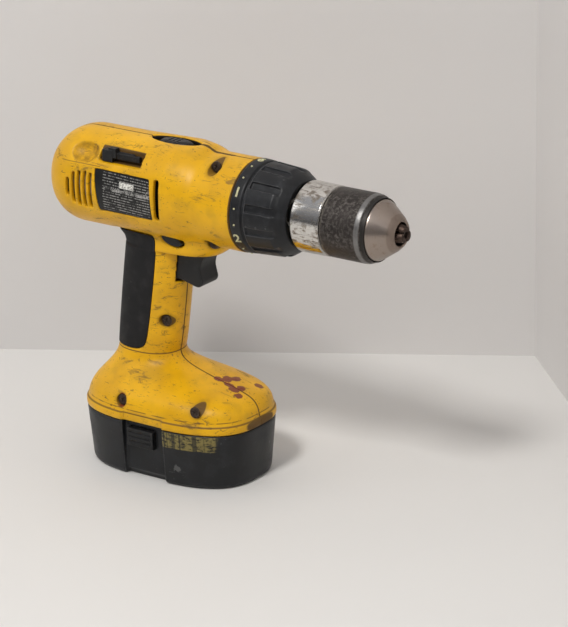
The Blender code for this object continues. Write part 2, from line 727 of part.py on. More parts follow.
for i in range(3):
    angle = math.pi / 2 + 2 * math.pi * i / 3
    outward = Vector((0, math.cos(angle), math.sin(angle)))
    back_dir = Vector((-math.cos(jaw_angle), 0, 0)) + outward * math.sin(jaw_angle)
    crossing = Vector((jaw_cross, 0, axis_height))
    hole_start = crossing + back_dir * 0.002
    hole_end = crossing + back_dir * 0.0665
    cut(chuck_body, rod("jaw_hole", hole_start, hole_end, jaw_radius + 0.3 * mm, 12))
    jaw_end = crossing + back_dir * (0.0066 + jaw_length)
    jaw = rod(f"chuck_jaw_{i + 1}", hole_start, jaw_end, jaw_radius, 12)
    cut(jaw, box("face_trim", (jaw_tip, -0.05, 0.1), (jaw_tip + 0.05, 0.05, 0.25)))
    for side in (1, -1):
        trim = box("wedge_trim", (0.1, -0.18 * mm, -0.02), (0.2, 0.02, 0.02))
        trim.location = (0, 0, axis_height)
        trim.rotation_euler = (angle + side * math.radians(150), 0, 0)
        bpy.context.view_layer.update()
        cut(jaw, trim)
    jaws.append(jaw)

# Trigger and direction button
trigger_side = [
    (-5, 121), (-5, 134.5), (3, 137), (12, 137.6), (24.6, 137.6), (26.3, 136.2), (24.8, 131.8),
    (24.2, 128.2),
    (25.4, 123.6), (26.3, 120.8), (25.0, 118.0), (21.6, 116.9), (15, 118.4), (9, 119.8), (3, 120.4),
]
trigger = side_plate(
    "trigger",
    [(x * mm, z * mm) for x, z in trigger_side],
    -trigger_half,
    trigger_half,
)
rounding = trigger.modifiers.new("edges", "BEVEL")
rounding.width = 2.2 * mm
rounding.segments = 3
rounding.limit_method = "ANGLE"
rounding.angle_limit = math.radians(60)
trigger = freeze(trigger)
switch_module = box(
    "switch_module",
    (-26.5 * mm, -8.5 * mm, 112.4 * mm),
    (-12.2 * mm, 8.5 * mm, 138 * mm),
)
direction_button = side_plate(
    "direction_button",
    knob_outline(7.5 * mm, 2.95 * mm),
    -18.2 * mm,
    18.2 * mm,
)
cut(direction_button, box("waist", (-20 * mm, -13.2 * mm, 147.6 * mm), (40 * mm, 13.2 * mm, 160 * mm)))

# Battery
terminal_block = box(
    "terminal_block",
    (-29.5 * mm, -8.4 * mm, 100.2 * mm),
    (-8.5 * mm, 8.4 * mm, 108.5 * mm),
)
for middle in (5 * mm, -5 * mm):
    way_low = (-28 * mm, middle - 1.6 * mm, 99 * mm)
    cut(terminal_block, box("blade_way", way_low, (-11 * mm, middle + 1.6 * mm, 104 * mm)))
channel_low = -16.2 * mm
channel_high = 13.4 * mm
stem_back = -34.4 * mm
stem_front = -5.6 * mm
stem_half = 12.0 * mm


def foot_ring(z, inset, power=2.8):
    reach = foot_half_length - inset
    return level_ring(z, -reach, reach, foot_half_width - inset, power, 28)


def stem_ring(z, side_in, inset):
    return level_ring(z, stem_back + inset, stem_front - inset, stem_half - side_in, 2.4, 20)


def pack_ring(z, inset, power=2.8):
    share = z / foot_bottom
    lost = pack_draft * (1 - share) + inset + 0.5 * mm
    return foot_ring(z, lost, power)


case_top = foot_bottom - gap
rings = [pack_ring(0, 1.8 * mm), pack_ring(1.6 * mm, 0), pack_ring(case_top, 0)]
pack_case = loft("battery_case", rings)
cavity_rings = [
    pack_ring(2.6 * mm, 3.6 * mm),
    pack_ring(6 * mm, 2.4 * mm),
    pack_ring(40 * mm, 2.4 * mm),
]
pack_cavity = loft("pack_cavity", cavity_rings)
for side in (-1, 1):
    wall_y = sorted((side * 31.6 * mm, side * 60 * mm))
    wall_low = (channel_low - 2.2 * mm, wall_y[0], -1 * mm)
    cut(pack_cavity, box("channel_wall", wall_low, (channel_high + 2.2 * mm, wall_y[1], 50 * mm)))
cut(pack_case, pack_cavity)
for side in (-1, 1):
    channel_y = sorted((side * 34.0 * mm, side * 60 * mm))
    cut(
        pack_case,
        box("channel", (channel_low, channel_y[0], -1 * mm), (channel_high, channel_y[1], 50 * mm)),
    )
    scoop_y = side * 36.5 * mm
    cut(pack_case, rod("scoop", (channel_low, scoop_y, 0), (channel_high, scoop_y, 0), 4.2 * mm, 16))
    window_y = sorted((side * 28 * mm, side * 60 * mm))
    cut(
        pack_case,
        box("window", (-13.4 * mm, window_y[0], 19.6 * mm), (5.9 * mm, window_y[1], 31.4 * mm)),
    )
buttons = []
for name, side in (("release_button_right", -1), ("release_button_left", 1)):
    ends = sorted((side * 32.9 * mm, side * 37.0 * mm))
    button = box(name, (-13.1 * mm, ends[0], 19.9 * mm), (5.6 * mm, ends[1], 31.1 * mm))
    for level in (22.3, 25.1, 27.9):
        ends = sorted((side * 36.3 * mm, side * 40 * mm))
        cut(
            button,
            box("rib", (-11.6 * mm, ends[0], level * mm), (4.1 * mm, ends[1], level * mm + 1.2 * mm)),
        )
    buttons.append(button)

cap_rows = ((foot_bottom, 3.9), (42.0 * mm, 4.4), (44.6 * mm, 6.5), (cap_height, 8.8))
pack_cap = loft("battery_cap", [foot_ring(z, inset * mm) for z, inset in cap_rows])
stem_rows = ((40 * mm, 0.0), (stem_height - 1.5 * mm, 0.0), (stem_height, 1.5 * mm))
join(pack_cap, loft("stem", [stem_ring(z, inset, inset) for z, inset in stem_rows]))
hollow_rows = ((foot_bottom - 5 * mm, 5.6), (42.0 * mm, 5.8), (cap_height - 1.6 * mm, 7.7))
cap_cavity = loft("cap_cavity", [foot_ring(z, inset * mm) for z, inset in hollow_rows])
stem_rings = [stem_ring(z, 1.1 * mm, 1.3 * mm) for z in (30 * mm, stem_height - 1.8 * mm)]
join(cap_cavity, loft("stem_cavity", stem_rings))
foot_screws = [screw_places[name][:2] for name in ("screw_foot_rear", "screw_foot_front")]
for x, z in foot_screws:
    reach = screw_hole + 3.6 * mm
    cut(cap_cavity, box("notch_wall", (x - reach, -0.06, 30 * mm), (x + reach, -30.4 * mm, 60 * mm)))
cut(pack_cap, cap_cavity)
for x, z in foot_screws:
    reach = screw_hole + 2.0 * mm
    cut(pack_cap, box("notch", (x - reach, -0.06, z - 6.2 * mm), (x + reach, -31.3 * mm, 60 * mm)))

cell_low = 3.2 * mm
cell_high = 42.0 * mm
row_step = cell_radius * math.sqrt(3) + 0.4 * mm
cells = []
cell_rows = (("cells_right", -row_step, 4), ("cells_middle", 0.0, 5), ("cells_left", row_step, 4))
for name, y, count in cell_rows:
    pitch = 2 * cell_radius + 0.25 * mm
    places = [(i - (count - 1) / 2) * pitch for i in range(count)]
    bar_low = (places[0], y - 4 * mm, cell_high - 0.6 * mm)
    row = box(name, bar_low, (places[-1], y + 4 * mm, cell_high + 0.5 * mm))
    for x in places:
        join(row, rod("cell", (x, y, cell_low), (x, y, cell_high), cell_radius, 12))
    cells.append(row)
stem_middle = (stem_back + stem_front) / 2
lowest = (stem_middle, 0, cell_high + 2.4 * mm)
stem_cells = rod("cells_stem", lowest, (stem_middle, 0, 67.6 * mm), cell_radius, 12)
join(
    stem_cells,
    rod("upper", (stem_middle, 0, 68.6 * mm), (stem_middle, 0, 91.6 * mm), cell_radius, 12),
)
join(stem_cells, rod("strap", (stem_middle, 0, 60 * mm), (stem_middle, 0, 75 * mm), 4 * mm, 12))
plate_low = (-27 * mm, -7 * mm, stem_height + gap)
terminals = box("battery_terminals", plate_low, (-13 * mm, 7 * mm, stem_height + 1.4 * mm))
for middle in (5 * mm, -5 * mm):
    blade_low = (-26 * mm, middle - 0.6 * mm, stem_height + 0.6 * mm)
    join(terminals, box("blade", blade_low, (-14 * mm, middle + 0.6 * mm, 102.6 * mm)))


def finish(obj, colour, roughness, metallic=0.0, smooth=True):
    """Moves a finished piece to the drill's collection and gives it its own material."""
    cutters.objects.unlink(obj)
    parts.objects.link(obj)
    obj.hide_render = False
    obj.display_type = "TEXTURED"
    material = bpy.data.materials.new(obj.name)
    material.use_nodes = True
    shader = material.node_tree.nodes["Principled BSDF"]
    shader.inputs["Base Color"].default_value = (*colour, 1)
    shader.inputs["Roughness"].default_value = roughness
    shader.inputs["Metallic"].default_value = metallic
    obj.data.materials.clear()
    obj.data.materials.append(material)
    if smooth:
        obj.data.shade_smooth()
        obj.data.set_sharp_from_angle(angle=math.radians(32))


def move_origin(obj, point):
    """Puts a moving piece's origin on its joint axis."""
    point = Vector(point)
    shift = obj.matrix_world.inverted() @ point
    obj.data.transform(Matrix.Translation(-shift))
    obj.matrix_world = Matrix.Translation(point) @ obj.matrix_world.to_3x3().to_4x4()


for piece in (housing_right, housing_left):
    finish(piece, yellow_plastic, 0.35)
for piece in (
    grip_right,
    grip_left,
    torque_collar,
    trigger,
    direction_button,
    speed_selector,
    bit_clip,
):
    finish(piece, black_plastic, 0.6)
finish(nameplate, (0.02, 0.02, 0.02), 0.3)
steel_pieces = [
    motor_can,
    chuck_screw,
    spindle,
    bearing,
    clutch_spring,
    chuck_nut,
    shift_fork,
    clutch_nut,
]
for piece in screws + steel_pieces:
    finish(piece, bare_steel, 0.35, 1.0)
for piece in (pack_case, pack_cap, end_cap, switch_module, terminal_block, *buttons):
    finish(piece, black_plastic, 0.5)
for piece in (pinion, ring_one, ring_two, carrier, *planets):
    finish(piece, bare_steel, 0.3, 1.0)
for piece in (*magnets, *brushes):
    finish(piece, (0.05, 0.05, 0.05), 0.7)
finish(armature, (0.3, 0.12, 0.05), 0.4, 1.0)
finish(commutator, (0.6, 0.25, 0.12), 0.3, 1.0)
finish(motor_fan, black_plastic, 0.5)
finish(gearcase, (0.12, 0.12, 0.12), 0.5)
finish(chuck_body, bare_steel, 0.25, 1.0)
finish(rear_sleeve, (0.7, 0.69, 0.66), 0.2, 1.0)
finish(front_sleeve, dark_steel, 0.5, 1.0)
for piece in jaws:
    finish(piece, dark_steel, 0.4, 1.0)
for piece in (*cells, stem_cells):
    finish(piece, (0.5, 0.52, 0.5), 0.3, 1.0)
finish(terminals, brass, 0.3, 1.0)

bpy.context.view_layer.update()
turning_pieces = (
    armature, commutator, motor_fan, pinion, carrier, spindle, chuck_body, rear_sleeve, front_sleeve,
    chuck_nut, torque_collar,
)
for piece in turning_pieces:
    move_origin(piece, (0, 0, axis_height))
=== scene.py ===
import math

import bmesh
import bpy
from mathutils import Matrix, Vector


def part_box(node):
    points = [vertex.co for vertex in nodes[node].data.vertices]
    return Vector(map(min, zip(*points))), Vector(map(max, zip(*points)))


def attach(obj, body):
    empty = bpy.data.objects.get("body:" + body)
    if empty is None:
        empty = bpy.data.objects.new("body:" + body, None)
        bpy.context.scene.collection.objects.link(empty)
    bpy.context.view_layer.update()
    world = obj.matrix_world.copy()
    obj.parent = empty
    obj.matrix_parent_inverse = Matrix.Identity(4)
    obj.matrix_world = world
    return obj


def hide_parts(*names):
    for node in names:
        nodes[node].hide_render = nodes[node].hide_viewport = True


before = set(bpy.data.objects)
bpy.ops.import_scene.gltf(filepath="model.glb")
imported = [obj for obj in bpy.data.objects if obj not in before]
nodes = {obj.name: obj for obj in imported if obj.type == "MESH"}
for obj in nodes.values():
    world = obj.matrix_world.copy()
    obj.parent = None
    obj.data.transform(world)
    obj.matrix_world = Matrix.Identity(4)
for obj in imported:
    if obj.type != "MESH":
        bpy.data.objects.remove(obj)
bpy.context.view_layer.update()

mm = 0.001
sleeveLow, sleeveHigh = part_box("chuck_rear_sleeve")
axisZ = (sleeveLow[2] + sleeveHigh[2]) / 2 / mm  # the barrel's axis, in mm
bpy.context.scene.view_settings.view_transform = "Standard"


# Mesh tools, in millimetres and in the drill's own frame

def addObject(name, mesh):
    obj = bpy.data.objects.new(name, mesh)
    bpy.context.scene.collection.objects.link(obj)
    return obj


def addShape(name, shape):
    bmesh.ops.recalc_face_normals(shape, faces=shape.faces)
    mesh = bpy.data.meshes.new(name)
    shape.to_mesh(mesh)
    shape.free()
    return addObject(name, mesh)


def apply(obj, kind, **settings):
    modifier = obj.modifiers.new(kind.lower(), kind)
    for key, value in settings.items():
        setattr(modifier, key, value)
    bpy.context.view_layer.update()
    made = bpy.data.meshes.new_from_object(obj.evaluated_get(bpy.context.evaluated_depsgraph_get()))
    obj.modifiers.clear()
    obj.data = made
    return obj


def combine(operation, target, tools, solver="MANIFOLD"):
    for tool in tools:
        apply(target, "BOOLEAN", operation=operation, solver=solver, object=tool)
        bpy.data.objects.remove(tool, do_unlink=True)
    return target


def carve(target, *tools, **more):
    return combine("DIFFERENCE", target, tools, **more)


def merge(target, *tools, **more):
    return combine("UNION", target, tools, **more)


def limit(target, *tools, **more):
    return combine("INTERSECT", target, tools, **more)


# Keeps the right half under one name, and returns it with the left half
def halve(obj, rightName, leftName, seam):
    left = addObject(leftName, obj.data.copy())
    obj.name = rightName
    limit(obj, block((-200, -100, -100), (200, -seam / 2, 300)))
    limit(left, block((-200, seam / 2, -100), (200, 100, 300)))
    return obj, left


# One even skin, with every edge a little round, as a moulding has
def mould(obj, voxel=0.7, rounds=4):
    apply(obj, "REMESH", mode="VOXEL", voxel_size=voxel * mm)
    apply(obj, "SMOOTH", factor=0.5, iterations=rounds)
    obj.data.shade_smooth()
    return obj


def soften(obj, width=0.3, segments=2, angle=28):
    apply(
        obj, "BEVEL", width=width * mm, segments=segments,
        limit_method="ANGLE", angle_limit=math.radians(angle), harden_normals=False,
    )
    obj.data.shade_smooth()
    obj.data.set_sharp_from_angle(angle=math.radians(50))
    return obj


def block(low, high, turn=None):
    shape = bmesh.new()
    middle = [(a + b) / 2 * mm for a, b in zip(low, high)]
    size = [(b - a) * mm for a, b in zip(low, high)]
    place = Matrix.Translation(middle) @ Matrix.Diagonal((*size, 1))
    bmesh.ops.create_cube(shape, size=1, matrix=(turn @ place) if turn else place)
    return addShape("block", shape)


def pin(start, end, radius, sides=32):
    start = Vector(start) * mm
    end = Vector(end) * mm
    run = end - start
    place = Matrix.Translation((start + end) / 2) @ run.to_track_quat("Z", "Y").to_matrix().to_4x4()
    shape = bmesh.new()
    bmesh.ops.create_cone(
        shape, cap_ends=True, segments=sides, radius1=radius * mm, radius2=radius * mm,
        depth=run.length, matrix=place,
    )
    return addShape("pin", shape)


def ball(centre, radii):
    shape = bmesh.new()
    place = Matrix.Translation(Vector(centre) * mm) @ Matrix.Diagonal((*[r * mm for r in radii], 1))
    bmesh.ops.create_uvsphere(shape, u_segments=48, v_segments=24, radius=1, matrix=place)
    return addShape("ball", shape)


def skin(name, rings):
    shape = bmesh.new()
    rows = [[shape.verts.new((x * mm, y * mm, z * mm)) for x, y, z in ring] for ring in rings]
    for first, second in zip(rows, rows[1:]):
        for i in range(len(first)):
            j = (i + 1) % len(first)
            shape.faces.new((first[i], first[j], second[j], second[i]))
    shape.faces.new(rows[0])
    shape.faces.new(rows[-1])
    return addShape(name, shape)


def slab(name, outline, low, high):
    # an outline in (x, z), drawn out along y
    return skin(name, [[(x, y, z) for x, z in outline] for y in (low, high)])


def lathe(name, profile, steps=120):
    # a closed section in (x, radius), turned about the barrel's axis
    shape = bmesh.new()
    turns = [2 * math.pi * i / steps for i in range(steps)]
    rings = []
    for x, radius in profile:
        places = [(x, radius * math.cos(a), axisZ + radius * math.sin(a)) for a in turns]
        if radius == 0:
            places = places[:1]
        made = [shape.verts.new((x * mm, y * mm, z * mm)) for x, y, z in places]
        rings.append(made * steps if radius == 0 else made)
    pairs = list(zip(rings, rings[1:]))
    if profile[0][1] > 0:
        pairs.append((rings[-1], rings[0]))
    for first, second in pairs:
        for i in range(steps):
            j = (i + 1) % steps
            corners = list(dict.fromkeys((first[i], first[j], second[j], second[i])))
            shape.faces.new(corners)
    return addShape(name, shape)


def curveThrough(points, per=6, closed=True):
    # a smooth curve through the points
    made = []
    count = len(points)
    spans = count if closed else count - 1
    for i in range(spans):
        if closed:
            a, b, c, d = (Vector(points[(i + k) % count]) for k in (-1, 0, 1, 2))
        else:
            a, b, c, d = (Vector(points[min(max(i + k, 0), count - 1)]) for k in (-1, 0, 1, 2))
        for step in range(per):
            t = step / per
            bend = (2 * a - 5 * b + 4 * c - d) * t * t + (3 * b - a - 3 * c + d) * t ** 3
            made.append(tuple(0.5 * (2 * b + (c - a) * t + bend)))
    if not closed:
        made.append(tuple(points[-1]))
    return made


def ease(a, b, share):
    share = min(max(share, 0), 1)
    share = share * share * (3 - 2 * share)
    return a + (b - a) * share


def signedPower(value, power):
    return math.copysign(abs(value) ** power, value)


def oval(halfU, up, down, power, count):
    made = []
    for i in range(count):
        angle = 2 * math.pi * (i + 0.5) / count
        across, rise = math.cos(angle), math.sin(angle)
        high = up if rise > 0 else down
        made.append((halfU * signedPower(across, 2 / power), high * signedPower(rise, 2 / power)))
    return made


def levelRing(z, back, front, half, power, count=112):
    middle = (back + front) / 2
    return [(middle + u, v, z) for u, v in oval((front - back) / 2, half, half, power, count)]


# Shader tools

class Socket:
    # a node's output, so that shader maths reads as Python

    def __init__(self, finish, link):
        self.finish = finish
        self.link = link

    def maths(self, operation, first, second=0.0):
        return self.finish.node("ShaderNodeMath", {"operation": operation}, {0: first, 1: second})

    def __add__(self, other):
        return self.maths("ADD", self, other)

    def __sub__(self, other):
        return self.maths("SUBTRACT", self, other)

    def __rsub__(self, other):
        return self.maths("SUBTRACT", other, self)

    def __mul__(self, other):
        return self.maths("MULTIPLY", self, other)

    def __truediv__(self, other):
        return self.maths("DIVIDE", self, other)

    def __abs__(self):
        return self.maths("ABSOLUTE", self)

    __radd__ = __add__
    __rmul__ = __mul__


class Finish:
    # one procedural material, with places in millimetres

    def __init__(self, name, **constants):
        self.material = bpy.data.materials.new(name)
        self.material.use_nodes = True
        self.tree = self.material.node_tree
        self.shader = self.tree.nodes["Principled BSDF"]
        for key, value in constants.items():
            self.shader.inputs[key.replace("_", " ")].default_value = value
        held = self.node("ShaderNodeTexCoord", {}, {}, "Object")
        self.place = self.node(
            "ShaderNodeVectorMath", {"operation": "MULTIPLY"}, {0: held, 1: (1000, 1000, 1000)}, "Vector"
        )

    def node(self, kind, settings, inputs, output=0):
        made = self.tree.nodes.new(kind)
        for key, value in settings.items():
            setattr(made, key, value)
        for key, value in inputs.items():
            if isinstance(value, Socket):
                self.tree.links.new(value.link, made.inputs[key])
            else:
                made.inputs[key].default_value = value
        return Socket(self, made.outputs[output])

    def axes(self):
        return [self.node("ShaderNodeSeparateXYZ", {}, {0: self.place}, name) for name in "XYZ"]

    def noise(self, size, stretch=(1, 1, 1), detail=3, rough=0.55, shift=0, warp=0.0):
        scale = [1 / (size * s) for s in stretch]
        vector = self.node(
            "ShaderNodeVectorMath", {"operation": "MULTIPLY_ADD"},
            {0: self.place, 1: scale, 2: (shift, shift * 0.7, shift * 1.3)}, "Vector",
        )
        inputs = {"Vector": vector, "Scale": 1.0, "Detail": detail, "Roughness": rough, "Distortion": warp}
        return self.node("ShaderNodeTexNoise", {}, inputs, "Fac")

    # noise at a place that the shader works out itself
    def noiseAt(self, x, y, detail):
        vector = self.node("ShaderNodeCombineXYZ", {}, {0: x, 1: y, 2: 0.0})
        return self.node("ShaderNodeTexNoise", {}, {"Vector": vector, "Scale": 1.0, "Detail": detail}, "Fac")

    def step(self, value, low, high):
        inputs = {"Value": value, "From Min": low, "From Max": high, "To Min": 0.0, "To Max": 1.0}
        return self.node("ShaderNodeMapRange", {"interpolation_type": "SMOOTHSTEP"}, inputs, "Result")

    def near(self, value, middle, half, soft):
        # one where the value lies close to the middle
        return self.step(abs(value - middle), half + soft, half)

    def greater(self, a, b):
        return self.node("ShaderNodeMath", {"operation": "MAXIMUM"}, {0: a, 1: b})

    def mix(self, factor, a, b):
        a = (*a, 1) if isinstance(a, tuple) else a
        b = (*b, 1) if isinstance(b, tuple) else b
        return self.node("ShaderNodeMix", {"data_type": "RGBA"}, {0: factor, 6: a, 7: b}, 2)

    def away(self, point, scale=(1, 1, 1)):
        # how far, in mm, a place is from a point
        moved = self.node(
            "ShaderNodeVectorMath", {"operation": "SUBTRACT"}, {0: self.place, 1: point}, "Vector"
        )
        moved = self.node("ShaderNodeVectorMath", {"operation": "MULTIPLY"}, {0: moved, 1: scale}, "Vector")
        return self.node("ShaderNodeVectorMath", {"operation": "LENGTH"}, {0: moved}, "Value")

    def curvature(self):
        # below a half in a hollow and above it on an edge
        return self.node("ShaderNodeNewGeometry", {}, {}, "Pointiness")

    def set(self, colour=None, roughness=None, metallic=None, height=None, depth=0.1):
        for name, value in (("Base Color", colour), ("Roughness", roughness), ("Metallic", metallic)):
            if isinstance(value, Socket):
                self.tree.links.new(value.link, self.shader.inputs[name])
        if height is not None:
            normal = self.node(
                "ShaderNodeBump", {}, {"Height": height, "Distance": depth * mm, "Strength": 1.0}, "Normal"
            )
            self.tree.links.new(normal.link, self.shader.inputs["Normal"])
        return self.material


def dress(obj, material):
    obj.data.materials.clear()
    obj.data.materials.append(material)
    return obj


def fit(obj, body, *replaced):
    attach(obj, body)
    if replaced:
        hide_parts(*replaced)
    return obj


# Camera, floor and light

view = dict(place=(1178, -1547.8, 793.2), yaw=35.42, pitch=19.80, roll=-1.073, lens=198.6)


def addCamera():
    yaw, pitch, roll = (math.radians(view[k]) for k in ("yaw", "pitch", "roll"))
    ahead = Vector((-math.sin(yaw) * math.cos(pitch), math.cos(yaw) * math.cos(pitch), -math.sin(pitch)))
    level = Vector((math.cos(yaw), math.sin(yaw), 0))
    upright = level.cross(ahead)
    right = level * math.cos(roll) + upright * math.sin(roll)
    up = upright * math.cos(roll) - level * math.sin(roll)
    camera = bpy.data.objects.new("camera", bpy.data.cameras.new("camera"))
    camera.data.lens = view["lens"]
    camera.data.sensor_width = 36
    camera.data.clip_end = 20
    turn = Matrix((right, up, -ahead)).transposed().to_4x4()
    camera.matrix_world = Matrix.Translation(Vector(view["place"]) * mm) @ turn
    bpy.context.scene.collection.objects.link(camera)
    bpy.context.scene.camera = camera


room = dict(
    corner=(86.7, 268.2), wallTurn=30.2, sideTurn=-44.7, wallLength=2400, height=1600, floorHalf=3.0,
    floorPaint=(0.74, 0.725, 0.70), wallPaint=(0.70, 0.68, 0.665), mottle=0.965,
)


def makeWalls():
    walls = bmesh.new()
    foot = Vector((*room["corner"], 0)) * mm
    top = Vector((0, 0, room["height"] * mm))
    for turn, way in ((room["wallTurn"], -1), (room["sideTurn"], 1)):
        angle = math.radians(turn)
        run = Vector((math.cos(angle), math.sin(angle), 0)) * way * room["wallLength"] * mm
        corners = (foot, foot + run, foot + run + top, foot + top)
        panel = walls.faces.new([walls.verts.new(p) for p in corners])
        panel.normal_update()
        if panel.normal.dot(foot - Vector(view["place"]) * mm) > 0:
            panel.normal_flip()
    sheet = bpy.data.meshes.new("backdrop")
    walls.to_mesh(sheet)
    walls.free()
    return addObject("backdrop", sheet)


def paint(name, colour):
    f = Finish(name)
    darker = tuple(v * room["mottle"] for v in colour)
    return f.set(f.mix(f.noise(160, detail=2), darker, colour), 0.62 + 0.1 * f.noise(30))


# Leaves a sheet only its front, so that the walls don't hide the drill from behind
def openBack(material):
    tree = material.node_tree
    out = next(n for n in tree.nodes if n.type == "OUTPUT_MATERIAL")
    mixed = tree.nodes.new("ShaderNodeMixShader")
    tree.links.new(tree.nodes.new("ShaderNodeNewGeometry").outputs["Backfacing"], mixed.inputs[0])
    tree.links.new(out.inputs[0].links[0].from_socket, mixed.inputs[1])
    tree.links.new(tree.nodes.new("ShaderNodeBsdfTransparent").outputs[0], mixed.inputs[2])
    tree.links.new(mixed.outputs[0], out.inputs[0])
    return material


def addRoom():
    shape = bmesh.new()
    bmesh.ops.create_grid(shape, x_segments=2, y_segments=2, size=room["floorHalf"])
    dress(addShape("floor", shape), paint("palePaint", room["floorPaint"]))
    dress(makeWalls(), openBack(paint("wallPaint", room["wallPaint"])))


lamps = (
    dict(name="keyLamp", place=(150, -1080, 1500), size=300, power=17.5, colour=(1.0, 0.985, 0.96)),
    dict(name="fillLamp", place=(1500, -700, 1100), size=900, power=3.4, colour=(0.95, 0.97, 1.0)),
    dict(name="rearLamp", place=(-1200, -700, 900), size=900, power=3.2, colour=(1.0, 1.0, 1.0)),
)
lampTarget = (30, 0, 110)
sky = dict(low=(0.20, 0.20, 0.21, 1), high=(0.92, 0.94, 1.0, 1), brightFrom=0.85, strength=0.50)


def addLamps():
    aim = Vector(lampTarget) * mm
    for lamp in lamps:
        data = bpy.data.lights.new(lamp["name"], "AREA")
        data.energy = lamp["power"]
        data.size = lamp["size"] * mm
        data.color = lamp["colour"]
        obj = bpy.data.objects.new(lamp["name"], data)
        place = Vector(lamp["place"]) * mm
        turn = (aim - place).to_track_quat("-Z", "Y").to_matrix().to_4x4()
        obj.matrix_world = Matrix.Translation(place) @ turn
        bpy.context.scene.collection.objects.link(obj)


def addSky():
    world = bpy.data.worlds.new("softLight")
    world.use_nodes = True
    tree = world.node_tree
    back = tree.nodes["Background"]
    held = tree.nodes.new("ShaderNodeTexCoord")
    parted = tree.nodes.new("ShaderNodeSeparateXYZ")
    shade = tree.nodes.new("ShaderNodeValToRGB")
    low, high = shade.color_ramp.elements
    low.position, low.color = 0.0, sky["low"]
    high.position, high.color = sky["brightFrom"], sky["high"]
    tree.links.new(held.outputs["Generated"], parted.inputs[0])
    tree.links.new(parted.outputs["Z"], shade.inputs[0])
    tree.links.new(shade.outputs["Color"], back.inputs["Color"])
    back.inputs["Strength"].default_value = sky["strength"]
    bpy.context.scene.world = world


addCamera()
addRoom()
addLamps()
addSky()
print("camera, room and lamps")


# Housing

housing = dict(
    half=29.4, top=30.6, bottom=28.3, domeLength=27.5, domeStart=-57, stepStart=23, stepEnd=32,
    frontRadius=28.2, front=59, wall=2.8, seam=0.3,
)
# rise above the foot's underside, how far the back, front and sides are in, and the squareness
footRows = (
    (5.8, 1.4, 1.4, 1.3, 2.8), (8.0, 1.6, 1.7, 1.6, 2.8), (12.0, 3.0, 3.0, 2.6, 2.8),
    (16.0, 5.0, 7.0, 4.8, 2.7), (19.5, 7.4, 16.5, 8.4, 2.5), (24.0, 11.4, 35.0, 14.0, 2.4),
    (28.5, 15.0, 50.0, 18.4, 2.3),
    (32.5, 17.4, 56.8, 21.0, 2.3), (37.0, 18.8, 58.6, 22.2, 2.3),
)
lipRows = (
    (0.0, 0.5, 0.5, 0.5, 2.8), (0.7, 0.1, 0.1, 0.1, 2.8), (4.4, 0.1, 0.1, 0.1, 2.8), (5.2, 0.7, 0.7, 0.6, 2.8),
)
footHalfLength, footHalfWidth, footBottom = 59.4, 39.1, 35.3
ledgeHeight, handleFoot = 138.2, 72
ledgeRows = (
    (0, -33, 33, 17.4), (3.5, -34.5, 38, 17.4), (8, -40, 44, 17.2), (12, -49, 50, 17), (19, -54, 52, 17),
)
ventHalf = 1.2
slot = dict(back=5.6, front=9.2, low=162.0, high=186.4)
channel = dict(back=-16.2, front=13.4)  # down the sides of the foot and the battery, over each release button
knobHole = dict(place=(10, 147.3), tilt=-10, long=8.3, high=3.7, play=0.8)
vents = ((-58.0, 6.0), (-53.8, 10.0), (-49.6, 11.3), (-45.4, 11.6), (-41.2, 11.3))
screwHoles = (
    (40.3, 196.2, -13.0), (36.5, 148.6, -12.0), (-0.6, 93.4, -11.5), (-17.8, 46.8, -34.0), (35.4, 49.6, -34.0),
)
pocketEdge = ((-37.5, 190.3), (-5.6, 190.3), (-5.6, 198.3), (-37.5, 198.3))
gripEdge = (
    (-70, 154), (-47, 150.2), (-30, 150.4), (-12, 150.2), (-4.5, 148.5), (-2.4, 144.5), (-3.2, 136),
    (-5.2, 121), (-8.4, 100), (-11.6, 81.5), (-13.6, 76), (-18.4, 73.6), (-26, 73.2), (-70, 73),
)
labelEdge = ((-38.2, 186.6), (2.6, 186.4), (4.6, 161.6), (-35.4, 161.4))
thumbScoop = ((-48.2, -26.4, 197.4), (11.6, 9.4, 9.2))


def barrelShape(grow=0.0, count=112):
    h = housing
    rings = []
    sizes = (h["half"] + grow, h["top"] + grow, h["bottom"] + grow)
    reach = h["domeLength"] + grow
    for step in range(1, 19):
        angle = math.radians(5 * step)
        share = math.sin(angle)
        x = h["domeStart"] - reach * math.cos(angle)
        rings.append([(x, u, axisZ + v) for u, v in oval(*(s * share for s in sizes), 2.2, count)])
    x = h["domeStart"] + 2
    while x <= h["front"] + 0.01:
        share = (x - h["stepStart"]) / (h["stepEnd"] - h["stepStart"])
        half = ease(h["half"], h["frontRadius"], share) + grow
        top = ease(h["top"], h["frontRadius"] - 0.6, share) + grow
        bottom = ease(h["bottom"], h["frontRadius"], share) + grow
        end = min(x, h["front"] + (grow * 4 if grow < 0 else 0))
        if x < 11:  # squarer shoulders toward the selector, then round again at the collar
            boxy = 2.2 + 0.42 * min(max((x + 26) / 34, 0), 1)
        else:
            boxy = 2.62 - 0.62 * min((x - 11) / 13, 1)
        rings.append([(end, u, axisZ + v) for u, v in oval(half, top, bottom, boxy, count)])
        if end < x:
            break
        x += 1.0 if h["stepStart"] - 2 < x < h["stepEnd"] + 1 else 2.0
    return skin("barrel", rings)


